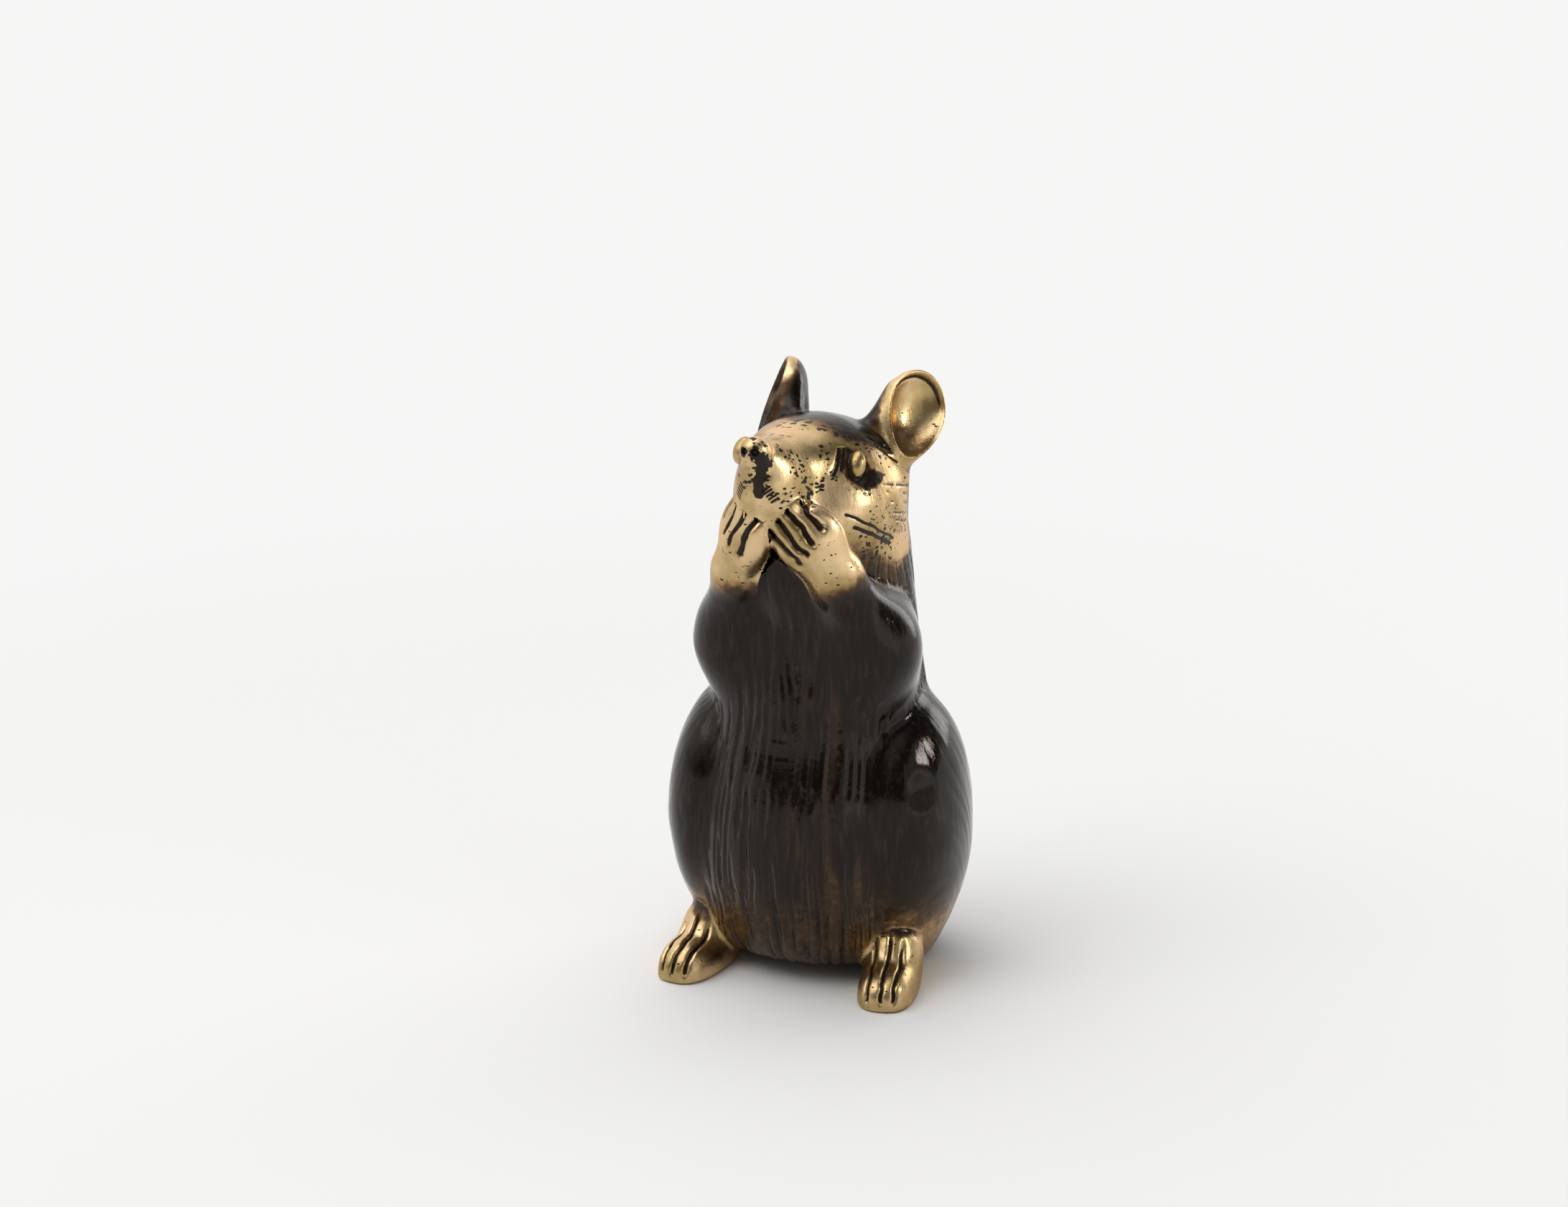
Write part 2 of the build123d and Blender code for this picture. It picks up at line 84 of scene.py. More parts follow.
def turn(yaw=0.0, pitch=0.0, roll=0.0):
    """A rotation in degrees: roll about Y first, then pitch about X, then yaw about Z."""
    spin = Matrix.Rotation(math.radians(yaw), 3, "Z")
    nod = Matrix.Rotation(math.radians(pitch), 3, "X")
    lean = Matrix.Rotation(math.radians(roll), 3, "Y")
    return np.array(spin @ nod @ lean)


def egg(p, centre, radii, axes=None):
    """Distance to an ellipsoid, good near its skin. The columns of axes are its own directions."""
    q = p - np.asarray(centre, float)
    if axes is not None:
        q = q @ axes
    radii = np.asarray(radii, float)
    k = np.linalg.norm(q / radii, axis=-1)
    slope = np.linalg.norm(q / radii**2, axis=-1)
    return k * (k - 1.0) / np.maximum(slope, 1e-9)


def limb(p, start, end, start_radius, end_radius):
    """Distance to a round limb that tapers from start to end."""
    start, end = np.asarray(start, float), np.asarray(end, float)
    along = end - start
    t = np.clip((p - start) @ along / (along @ along), 0.0, 1.0)
    return np.linalg.norm(p - start - t[..., None] * along, axis=-1) - (start_radius + (end_radius - start_radius) * t)


def merge(a, b, k):
    """Union with a fillet about k wide."""
    h = np.maximum(k - np.abs(a - b), 0.0) / k
    return np.minimum(a, b) - h * h * k / 4.0


def carve(a, b, k):
    """Keep a outside b, with a fillet about k wide."""
    return -merge(-a, b, k)


def flow(z, knots, values):
    """A smooth curve through values at the given knots."""
    knots, values = np.asarray(knots, float), np.asarray(values, float)
    slopes = np.gradient(values, knots)
    z = np.clip(z, knots[0], knots[-1])
    i = np.clip(np.searchsorted(knots, z) - 1, 0, len(knots) - 2)
    h = knots[i + 1] - knots[i]
    t = (z - knots[i]) / h
    rise = values[i + 1] - values[i]
    return (values[i] + rise * t * t * (3 - 2 * t)
            + h * slopes[i] * t * (1 - t) ** 2 - h * slopes[i + 1] * t * t * (1 - t))


def flip(p, side):
    """Points seen from the mouse's left, or mirrored from its right."""
    q = p.copy()
    q[..., 0] *= side
    return q


def ramp(x, low, high):
    """0 below low, 1 above high, smooth between."""
    t = np.clip((x - low) / (high - low), 0.0, 1.0)
    return t * t * (3 - 2 * t)


def grain(p, size, seed):
    """Smooth random values from 0 to 1 on a lattice of the given size, the same on every run."""
    q = np.asarray(p, float) / size
    corner = np.floor(q)
    f = q - corner
    w = f * f * (3 - 2 * f)
    total = np.zeros(q.shape[:-1])
    for dx in (0, 1):
        for dy in (0, 1):
            for dz in (0, 1):
                cell = corner + (dx, dy, dz)
                mixed = np.sin(cell @ np.array([127.1, 311.7, 74.7]) + seed * 19.19) * 43758.5453
                share = np.abs(1 - dx - w[..., 0]) * np.abs(1 - dy - w[..., 1]) * np.abs(1 - dz - w[..., 2])
                total += share * (mixed - np.floor(mixed))
    return total


print("clay tools ready")

# %% [markdown]
# ## The body
# The torso is a pear: ellipses of changing width and depth, stacked up the spine. Two eggs make the
# haunches. The rump is cut flat at the floor, and the belly's front edge lifts a little off it.

# %% Torso and haunches
SPINE_HEIGHTS = (0.0, 4.0, 12.0, 22.0, 34.0, 45.0, 54.0, 61.0, 70.0)
SPINE_SETBACKS = (4.2, 2.4, 0.9, 0.5, 1.0, 1.2, 1.5, 2.2, 4.0)
SPINE_HALF_WIDTHS = (14.4, 16.4, 16.8, 16.0, 14.4, 12.9, 11.8, 10.8, 9.0)
SPINE_HALF_DEPTHS = (13.0, 15.4, 17.4, 18.0, 15.7, 13.8, 12.6, 11.4, 9.0)
TORSO_TOP = 62.0
BELLY_LIFT = 2.4
LIFT_START = -2.16
LIFT_RUN = 6.3
plate_low, plate_high = [np.array(corner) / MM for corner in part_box("base_plate")]
PLATE_MIDDLE = (plate_low + plate_high) / 2
PLATE_RADIUS = (plate_high[0] - plate_low[0]) / 2 + 0.1
THROAT_PLACE = (-0.6, -8.6, 58.0)
THROAT_RADII = (6.5, 6.4, 8.5)
HAUNCH_PLACE = (11.8, 2.0, 20.0)
HAUNCH_RADII = (8.8, 14.2, 18.6)
HAUNCH_AXES = turn(8.0, 8.0)
THUMB_FACING = np.array([0.76, -0.48, 0.45])
THUMB_FLATS = (((17.0, -6.8, 32.2), 30.0, 0.30), ((17.1, -9.8, 27.0), 9.0, 0.45))


def torso_clay(p):
    z = p[..., 2]
    wide = flow(z, SPINE_HEIGHTS, SPINE_HALF_WIDTHS)
    thick = flow(z, SPINE_HEIGHTS, SPINE_HALF_DEPTHS)
    back = flow(z, SPINE_HEIGHTS, SPINE_SETBACKS)
    k = np.hypot(p[..., 0] / wide, (p[..., 1] - back) / thick)
    d = (k - 1.0) * np.minimum(wide, thick) * 0.95
    d = -merge(-d, TORSO_TOP - z, 5.0)
    for side in (1, -1):
        d = merge(d, egg(flip(p, side), HAUNCH_PLACE, HAUNCH_RADII, HAUNCH_AXES), 1.6)
    d = merge(d, egg(p, THROAT_PLACE, THROAT_RADII), 3.0)
    for spot, radius, deep in THUMB_FLATS:
        d = carve(d, np.linalg.norm(p - spot - THUMB_FACING * (radius - deep), axis=-1) - radius, 0.5)
    lift = BELLY_LIFT * np.clip((LIFT_START - p[..., 1]) / LIFT_RUN, 0.0, 1.0)
    d = -merge(-d, z - lift, 1.0)
    round_plate = np.hypot(p[..., 0] - PLATE_MIDDLE[0], p[..., 1] - PLATE_MIDDLE[1]) - PLATE_RADIUS
    return carve(d, np.maximum(round_plate, z - plate_high[2] - 0.05), 0.05)


# %% [markdown]
# ## The head
# The head has its own frame, turned a little to the mouse's right and tipped up. In that frame -Y runs
# along the snout. The eye sockets are carved as shallow dishes, and each eye is a bead laid in its dish.

# %% Skull, snout and nose
HEAD_CENTRE = np.array([0.0, 1.2, 66.8])
HEAD_AXES = turn(-7.0, -22.0)
EYE_PLACE = np.array([8.35, -8.2, 1.1])
EYE_AXES = turn(56.0, -8.0)
EYE_RADII = (1.2, 1.25, 1.9)
SOCKET_RADII = (2.0, 1.5, 2.7)
CHEEKS = {1: ((5.8, -2.6, -5.0), (5.6, 8.5, 6.2)), -1: ((4.6, -2.6, -5.0), (4.9, 8.5, 6.2))}


def head_frame(p):
    return (p - HEAD_CENTRE) @ HEAD_AXES


def head_clay(p):
    q = head_frame(p)
    d = egg(q, (0, 1.0, 0), (10.8, 12.5, 8.6))
    d = merge(d, limb(q, (0, -6.0, -2.2), (0, -20.2, -0.7), 7.6, 2.0), 5.0)
    d = merge(d, egg(q, (0, -15.2, -4.2), (4.3, 5.2, 4.4)), 2.5)
    d = merge(d, egg(q, (0, -10.0, -7.0), (5.5, 6.5, 4.5)), 3.0)
    for side in (1, -1):
        m = flip(q, side)
        d = merge(d, egg(m, *CHEEKS[side]), 3.0)
        d = carve(d, egg(m, EYE_PLACE + EYE_AXES @ np.array([0, -0.9, 0]), SOCKET_RADII, EYE_AXES), 0.7)
    d = merge(d, egg(q, (0, -21.3, -0.2), (1.85, 1.8, 1.75)), 1.2)
    for side in (1, -1):
        d = carve(d, egg(flip(q, side), (0.8, -22.9, -0.7), (0.42, 0.7, 0.4)), 0.25)
    return d


def eye_clay(p, side):
    return egg(flip(head_frame(p), side), EYE_PLACE, EYE_RADII, EYE_AXES)


# %% [markdown]
# ## The ears
# Each ear is a leaf-shaped cup: an egg with a second egg scooped out of its front, which leaves a rim about
# a millimetre thick. A fat root and a ridge from the forehead carry it.

# %% Ears
EAR_PLACE = np.array([9.9, 2.7, 9.6])
EAR_AXES = {1: turn(58.0) @ turn(0.0, -10.0) @ turn(0.0, 0.0, 14.0),
            -1: turn(57.0) @ turn(0.0, -10.0) @ turn(0.0, 0.0, 12.0)}
EAR_RADII = (5.0, 3.6, 6.6)
EAR_SCOOP_RADII = (4.68, 4.2, 6.28)
EAR_SCOOP_SHIFT = (0.0, -2.6, 0.1)
EAR_FOOT_WIDTH = 0.76
EAR_RIM_ROUND = 0.7


def ear_frame(p, side):
    """Points in the ear's own frame, with its foot widened so that the leaf narrows there."""
    local = (flip(head_frame(p), side) - EAR_PLACE) @ EAR_AXES[side]
    share = np.clip((local[..., 2] + EAR_RADII[2]) / 9.0, 0.0, 1.0)
    local[..., 0] /= EAR_FOOT_WIDTH + (1.0 - EAR_FOOT_WIDTH) * share
    return local


def ear_clay(p, side):
    q = flip(head_frame(p), side)
    leaf = ear_frame(p, side)
    d = egg(leaf, (0, 0, 0), EAR_RADII)
    d = merge(d, limb(q, (6.4, 2.8, 2.5), (8.4, 3.6, 8.0), 4.0, 2.2), 2.5)
    d = merge(d, limb(q, (5.4, -0.8, 5.8), EAR_PLACE + EAR_AXES[side] @ np.array([-3.6, 0.6, 2.4]), 1.9, 0.6), 1.6)
    return carve(d, egg(leaf, EAR_SCOOP_SHIFT, EAR_SCOOP_RADII), EAR_RIM_ROUND)


# %% [markdown]
# ## The forelegs
# An egg for the upper arm lies on the chest and tapering limbs run to the wrist. The hand is a flat egg in a
# frame of its own: across the knuckles, out of its back, and along the fingers. The fingers themselves are
# parted later by grooves, as the carver of the wax parted them.

# %% Forelegs and hands
ELBOW = {1: (9.4, -5.0, 45.2), -1: (-9.4, -5.0, 45.2)}
WRIST = {1: (6.3, -12.4, 57.6), -1: (-6.9, -12.6, 57.2)}
HAND_MIDDLE = {1: (3.7, -15.2, 62.7), -1: (-5.0, -15.2, 62.7)}
HAND_ALONG = {1: (-0.59, -0.33, 0.74), -1: (0.27, -0.30, 0.92)}
HAND_OUT = {1: (0.36, -0.92, -0.17), -1: (-0.66, -0.75, -0.06)}
HAND_RADII = (4.6, 2.6, 5.2)
ELBOW_RADII = (5.5, 7.0, 8.0)


def hand_frame(p, side):
    """Points across, out of and along the hand, from its middle."""
    along = np.array(HAND_ALONG[side]) / np.linalg.norm(HAND_ALONG[side])
    out = np.array(HAND_OUT[side]) - (np.array(HAND_OUT[side]) @ along) * along
    out = out / np.linalg.norm(out)
    across = side * np.cross(along, out)
    return (p - np.array(HAND_MIDDLE[side])) @ np.stack([across, out, along], axis=1)


def foreleg_clay(p, side):
    elbow, wrist = np.array(ELBOW[side]), np.array(WRIST[side])
    hand = np.array(HAND_MIDDLE[side])
    d = egg(p, elbow, ELBOW_RADII)
    d = merge(d, limb(p, elbow + (0, -1.0, 1.0), wrist, 5.2, 3.3), 3.5)
    d = merge(d, limb(p, wrist, hand + 0.15 * (wrist - hand), 3.3, 2.9), 2.0)
    return merge(d, egg(hand_frame(p, side), (0, 0, 0), HAND_RADII), 1.8)


# %% [markdown]
# ## Hind feet and tail
# A foot is four toes side by side under an arched instep, cut flat at the floor. The tail can't be seen from
# the front, so it lies close round the rump, as on other seated mice.

# %% Feet and tail
FOOT_PLACE = (13.7, -11.2, 0.0)
FOOT_AXES = turn(8.0)
FOOT_RADII = (3.9, 7.3, 4.6)
ANKLE_PLACE = (-0.2, 4.2, 4.4)
ANKLE_RADII = (4.0, 4.8, 4.5)
TAIL_POINTS = ((0.0, 14.4, 5.0), (-3.1, 17.3, 3.5), (-7.5, 18.4, 2.5), (-12.2, 16.2, 2.0), (-16.0, 11.5, 1.6))
TAIL_RADII = (2.8, 2.6, 2.2, 1.9, 1.5)
TAIL_LINKS = 24


def pebble(p, centre, radii, power):
    """Distance to an egg with squarer shoulders, the more so the higher the power."""
    q = np.abs(p - np.asarray(centre, float)) / np.asarray(radii, float)
    return ((q**power).sum(-1) ** (1.0 / power) - 1.0) * min(radii)


def foot_frame(p, side):
    return (flip(p, side) - np.array(FOOT_PLACE)) @ FOOT_AXES


def foot_clay(p, side):
    q = foot_frame(p, side)
    d = pebble(q, (0, 0.3, 0.4), FOOT_RADII, 2.7)
    d = merge(d, egg(q, ANKLE_PLACE, ANKLE_RADII), 1.8)
    return -merge(-d, q[..., 2], 0.5)


knots = np.arange(len(TAIL_POINTS))
steps = np.linspace(0, len(TAIL_POINTS) - 1, TAIL_LINKS + 1)
tail_line = np.stack([flow(steps, knots, np.array(TAIL_POINTS)[:, axis]) for axis in range(3)], -1)
tail_width = flow(steps, knots, TAIL_RADII)
print("tail:", TAIL_LINKS, "short limbs, from", tail_line[0], "to", tail_line[-1])


def tail_clay(p):
    d = np.full(p.shape[:-1], FAR)
    for i in range(TAIL_LINKS):
        d = np.minimum(d, limb(p, tail_line[i], tail_line[i + 1], tail_width[i], tail_width[i + 1]))
    return -merge(-d, p[..., 2], 0.4)


# %% [markdown]
# ## One skin for the whole mouse
# All lumps join into one field. Far from a limb its exact distance doesn't matter, so each limb is only
# worked out near its own box, which makes the sculpting several times faster.

# %% The whole field
NECK_LOW = 53.0
LIMB_BOXES = {
    "left_ear": ((1, -8, 64), (20, 16, 82)),
    "right_ear": ((-20, -8, 64), (0, 16, 82)),
    "left_eye": ((3, -14, 64), (13, 0, 78)),
    "right_eye": ((-15, -14, 64), (-5, 0, 78)),
    "left_foreleg": ((-2, -23, 35), (17, 6, 71)),
    "right_foreleg": ((-17, -23, 35), (1, 6, 71)),
    "left_hind_foot": ((7, -22, -1), (21, 1, 11)),
    "right_hind_foot": ((-21, -22, -1), (-7, 1, 11)),
    "tail": ((-20, 8, -1), (5, 23, 9)),
}
LIMB_CLAY = {
    "left_ear": lambda p: ear_clay(p, 1),
    "right_ear": lambda p: ear_clay(p, -1),
    "left_eye": lambda p: eye_clay(p, 1),
    "right_eye": lambda p: eye_clay(p, -1),
    "left_foreleg": lambda p: foreleg_clay(p, 1),
    "right_foreleg": lambda p: foreleg_clay(p, -1),
    "left_hind_foot": lambda p: foot_clay(p, 1),
    "right_hind_foot": lambda p: foot_clay(p, -1),
    "tail": tail_clay,
}
LIMB_FILLETS = {
    "left_ear": 1.2, "right_ear": 1.2, "left_eye": 0.15, "right_eye": 0.15,
    "left_hind_foot": 1.0, "right_hind_foot": 1.0, "tail": 0.8,
}


def limb_distance(p, name):
    low, high = LIMB_BOXES[name]
    near = np.all((p > np.array(low) - 2.0) & (p < np.array(high) + 2.0), axis=-1)
    d = np.full(p.shape[:-1], FAR)
    if near.any():
        d[near] = LIMB_CLAY[name](p[near])
    return d


def trunk_distance(p):
    torso = np.full(p.shape[:-1], FAR)
    head = np.full(p.shape[:-1], FAR)
    low, high = p[..., 2] < TORSO_TOP + FAR, p[..., 2] > NECK_LOW - FAR
    torso[low] = torso_clay(p[low])
    head[high] = head_clay(p[high])
    return merge(torso, head, 3.5)


def mouse(p):
    d = trunk_distance(p)
    elbow_fillet = 1.2 + 2.6 * ramp(58.0 - p[..., 2], 0.0, 12.0)
    for name in LIMB_CLAY:
        fillet = elbow_fillet if "foreleg" in name else LIMB_FILLETS[name]
        d = merge(d, limb_distance(p, name), fillet)
    return d


print("clay lumps:", len(LIMB_CLAY), "limbs on the trunk")

# %% [markdown]
# ## From field to mesh
# Surface nets turn the field into faces: space is cut into small cubes, each cube that the skin passes
# through gets one point, and points of neighbouring cubes join into quads. Only blocks near the skin are
# worked out. Each point is then slid along the field's slope until it lies on the true skin, and evened out.

# %% Surface nets
CUBE = 0.30
BLOCK = 4
CORNERS = np.array([(x, y, z) for x in (0, 1) for y in (0, 1) for z in (0, 1)])
EDGES = [(a, b) for a in range(8) for b in range(a + 1, 8) if np.abs(CORNERS[a] - CORNERS[b]).sum() == 1]
STEP_CORNER = (4, 2, 1)


PROBES = np.array([(1, 1, 1), (1, -1, -1), (-1, 1, -1), (-1, -1, 1)], float)
PROBE_REACH = 0.03


def probe(p):
    """The field and its slope, from four probes round each point."""
    values = [mouse(p + PROBE_REACH * way) for way in PROBES]
    slope = sum(value[:, None] * way for value, way in zip(values, PROBES)) / (4 * PROBE_REACH)
    return sum(values) / 4.0, slope


def settle(p, rounds=2):
    """Slide points on to the skin."""
    for _ in range(rounds):
        d, g = probe(p)
        shift = (d / np.maximum((g * g).sum(-1), 0.05))[:, None] * g
        length = np.linalg.norm(shift, axis=1, keepdims=True)
        p = p - shift * np.minimum(1.0, 0.6 * CUBE / np.maximum(length, 1e-9))
    return p


def net(low, high):
    """Points and quads of the skin inside a box."""
    low, high = np.asarray(low, float), np.asarray(high, float)
    blocks = np.ceil((high - low) / (CUBE * BLOCK)).astype(int)
    index = np.stack(np.meshgrid(*[np.arange(n) for n in blocks], indexing="ij"), -1).reshape(-1, 3)
    centres = low + (index + 0.5) * CUBE * BLOCK
    index = index[np.abs(mouse(centres)) < CUBE * BLOCK * 1.15]
    size = blocks * BLOCK + 2
    offsets = np.stack(np.meshgrid(*[np.arange(BLOCK + 1)] * 3, indexing="ij"), -1).reshape(-1, 3)
    corners = index[:, None, :] * BLOCK + offsets[None]
    keys = (corners[..., 0] * size[1] + corners[..., 1]) * size[2] + corners[..., 2]
    unique, place = np.unique(keys.ravel(), return_inverse=True)
    lattice = np.stack([unique // (size[1] * size[2]), unique // size[2] % size[1], unique % size[2]], -1)
    values = mouse(low + lattice * CUBE)[place].reshape(len(index), BLOCK + 1, BLOCK + 1, BLOCK + 1)
    eight = np.stack([
        values[:, x:BLOCK + x, y:BLOCK + y, z:BLOCK + z] for x, y, z in CORNERS
    ], -1)
    inside = eight < 0
    mixed = inside.any(-1) & ~inside.all(-1)
    block, i, j, k = np.nonzero(mixed)
    cells = index[block] * BLOCK + np.stack([i, j, k], -1)
    eight = eight[mixed]
    total = np.zeros((len(cells), 3))
    count = np.zeros(len(cells))
    for a, b in EDGES:
        cross = (eight[:, a] < 0) != (eight[:, b] < 0)
        t = eight[cross, a] / (eight[cross, a] - eight[cross, b])
        total[cross] += CORNERS[a] + t[:, None] * (CORNERS[b] - CORNERS[a])
        count[cross] += 1
    points = low + (cells + total / count[:, None]) * CUBE
    cell_keys = (cells[:, 0] * size[1] + cells[:, 1]) * size[2] + cells[:, 2]
    order = np.argsort(cell_keys)
    sorted_keys = cell_keys[order]
    strides = np.array([size[1] * size[2], size[2], 1])
    quads = []
    for axis in range(3):
        u, v = strides[(axis + 1) % 3], strides[(axis + 2) % 3]
        first = eight[:, 0] < 0
        last = eight[:, STEP_CORNER[axis]] < 0
        for mask, ring in ((first & ~last, (0, -u, -u - v, -v)), (~first & last, (0, -v, -u - v, -u))):
            around = cell_keys[mask][:, None] + np.array(ring)
            found = np.clip(np.searchsorted(sorted_keys, around), 0, len(sorted_keys) - 1)
            whole = (sorted_keys[found] == around).all(1)
            quads.append(order[found[whole]])
    return points, np.concatenate(quads)


def even_out(points, quads, rounds=2):
    """Move each point towards the middle of its neighbours, then back on to the skin."""
    a = quads[:, [0, 1, 2, 3]].ravel()
    b = quads[:, [1, 2, 3, 0]].ravel()
    for _ in range(rounds):
        middle = np.zeros_like(points)
        for axis in range(3):
            middle[:, axis] = np.bincount(a, points[b, axis], len(points)) + np.bincount(b, points[a, axis], len(points))
        number = np.bincount(a, minlength=len(points)) + np.bincount(b, minlength=len(points))
        points = settle(points + 0.5 * (middle / number[:, None] - points), 1)
    return points


NET_MARGIN = 1.0
points, quads = net(cad_low / MM - NET_MARGIN, cad_high / MM + NET_MARGIN)
points = even_out(settle(points), quads)
print("skin:", len(points), "points,", len(quads), "quads, box", points.min(0).round(2), points.max(0).round(2))

# %% [markdown]
# ## Which piece owns which face
# The real figure is cast in sections that are brazed and filed smooth, so no seam shows. Each face goes to the
# piece whose own lump is nearest, and the trunk is shared by head and torso at the height where the frame
# parts them. Pieces then meet along the same points, so the skin flows across the seams unbroken.

# %% Share the faces out
NECK_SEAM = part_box("head_shell")[0][2] / MM
plug_low, plug_high = [np.array(corner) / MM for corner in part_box("core_plugs")]
PIECES = ["torso_shell", "head_shell"] + list(LIMB_CLAY) + ["core_plugs"]


def owners(p):
    """The index in PIECES of the piece that owns each point."""
    distances = np.stack([trunk_distance(p)] + [limb_distance(p, name) for name in LIMB_CLAY], -1)
    nearest = distances.argmin(-1)
    owner = np.where(nearest == 0, np.where(p[..., 2] > NECK_SEAM, 1, 0), nearest + 1)
    in_plug = ((p[..., 0] > plug_low[0]) & (p[..., 0] < plug_high[0])
               & (p[..., 2] > plug_low[2]) & (p[..., 2] < plug_high[2]))
    return np.where((owner == 0) & in_plug, len(PIECES) - 1, owner)


quad_owner = owners(points[quads].mean(1))
print("faces per piece:", {name: int((quad_owner == i).sum()) for i, name in enumerate(PIECES)})

# %% [markdown]
# ## Finer faces where the detail is
# The face, hands and feet carry the finest work, so their quads are split into four. A quad beside a split
# one gets a point in its middle and triangles out to its edges, so that no crack opens between them.

# %% Split the detailed quads
DETAILED = [PIECES.index(name) for name in LIMB_CLAY if name != "tail"]
FACE_FRONT = 2.0


def split_faces(points, quads, chosen):
    """Split the chosen quads in four and fit triangles round them."""
    edges = np.stack([quads, np.roll(quads, -1, 1)], -1)
    flat = np.sort(edges.reshape(-1, 2), 1)
    key = flat[:, 0].astype(np.int64) * len(points) + flat[:, 1]
    unique, place = np.unique(key, return_inverse=True)
    place = place.reshape(-1, 4)
    cut = np.zeros(len(unique), bool)
    cut[place[chosen].ravel()] = True
    cut_id = np.cumsum(cut) - 1 + len(points)
    ends = np.stack([unique // len(points), unique % len(points)], -1)[cut]
    halves = points[ends].mean(1)
    border = ~chosen & cut[place].any(1)
    middle_of = np.where(chosen | border)[0]
    middle_id = np.full(len(quads), -1)
    middle_id[middle_of] = len(points) + len(halves) + np.arange(len(middle_of))
    new_points = settle(np.concatenate([halves, points[quads[middle_of]].mean(1)]), 2)
    points = np.concatenate([points, new_points])
    q, e, m = quads[chosen], cut_id[place[chosen]], middle_id[chosen]
    small = np.concatenate([np.stack([q[:, i], e[:, i], m, e[:, i - 1]], -1) for i in range(4)])
    source = np.tile(np.where(chosen)[0], 4)
    triangles, triangle_source = [], []
    for i in range(4):
        split = border & cut[place[:, i]]
        plain = border & ~cut[place[:, i]]
        a, b, m = quads[:, i], quads[:, (i + 1) % 4], middle_id
        e = cut_id[place[:, i]]
        triangles += [np.stack([a[split], e[split], m[split]], -1), np.stack([e[split], b[split], m[split]], -1)]
        triangles.append(np.stack([a[plain], b[plain], m[plain]], -1))
        triangle_source += [np.where(split)[0], np.where(split)[0], np.where(plain)[0]]
    kept = ~chosen & ~border
    quads_out = np.concatenate([quads[kept], small])
    quads_from = np.concatenate([np.where(kept)[0], source])
    return points, quads_out, quads_from, np.concatenate(triangles), np.concatenate(triangle_source)


quad_middle = points[quads].mean(1)
face_front = (quad_owner == 1) & (head_frame(quad_middle)[:, 1] < FACE_FRONT)
chosen = np.isin(quad_owner, DETAILED) | face_front
points, quads, quads_from, triangles, triangles_from = split_faces(points, quads, chosen)
triangle_owner = quad_owner[triangles_from]
quad_owner = quad_owner[quads_from]
print("after splitting:", len(points), "points,", len(quads), "quads,", len(triangles), "triangles")

# %% [markdown]
# ## Engraving
# Fur, creases and marks are cut after casting with a graver, so they are shallow and run along the form.
# Each point is pushed in along its normal by a depth worked out from where it is: streaks of grain drawn out
# down the belly make fur.

# %% Engrave the fur
def normals_of(points, quads, triangles):
    """Area-weighted normals of the points."""
    corner = [quads[:, 0], quads[:, 1], quads[:, 2], quads[:, 3]]
    face = np.cross(points[corner[2]] - points[corner[0]], points[corner[3]] - points[corner[1]])
    three = np.cross(points[triangles[:, 1]] - points[triangles[:, 0]], points[triangles[:, 2]] - points[triangles[:, 0]])
    total = np.zeros_like(points)
    for axis in range(3):
        for c in corner:
            total[:, axis] += np.bincount(c, face[:, axis], len(points))
        for c in range(3):
            total[:, axis] += np.bincount(triangles[:, c], three[:, axis], len(points))
    return total / np.maximum(np.linalg.norm(total, axis=1, keepdims=True), 1e-12)


owner = owners(points)
normal = normals_of(points, quads, triangles)
FUR_DEPTH = 0.27
FUR_WIDTH = 0.52
FUR_LENGTH = 8.0
FUR_SPACING = 1.15
NECK_FUR = 0.5


def fur_depth(p):
    """How deep the graver cut at each point of the trunk."""
    back = flow(p[:, 2], SPINE_HEIGHTS, SPINE_SETBACKS)
    angle = np.arctan2(p[:, 0], back - p[:, 1])
    side = np.abs(angle)
    slant = 0.35 * ramp(side, 0.7, 1.6) * np.sign(angle)
    around = angle * 14.0 + slant * (p[:, 2] - 40.0) + 1.2 * (grain(p, 9.0, 1) - 0.5)
    stroke = np.stack([around / FUR_WIDTH, p[:, 2] / FUR_LENGTH, np.zeros(len(p))], -1)
    broken = grain(np.stack([around / 1.6, p[:, 2] / 5.0, np.zeros(len(p))], -1), 1.0, 3)
    comb = 0.5 + 0.5 * np.cos(2 * np.pi * (around / FUR_SPACING + 0.7 * grain(p, 4.0, 4)))
    cut = np.maximum(ramp(grain(stroke, 1.0, 2), 0.5, 0.85), 0.8 * comb**3 * ramp(broken, 0.35, 0.6))
    haunch = np.minimum(egg(flip(p, 1), HAUNCH_PLACE, HAUNCH_RADII, HAUNCH_AXES),
                        egg(flip(p, -1), HAUNCH_PLACE, HAUNCH_RADII, HAUNCH_AXES))
    smooth = ramp(haunch, 0.2, 1.6)
    nearest_limb = np.min([limb_distance(p, name) for name in LIMB_CLAY], axis=0)
    clear = ramp(nearest_limb - trunk_distance(p), 0.0, 1.6)
    lower = 1 + 0.3 * ramp(30.0 - p[:, 2], 0.0, 14.0)
    return FUR_DEPTH * lower * cut * (0.15 + 0.85 * smooth) * clear


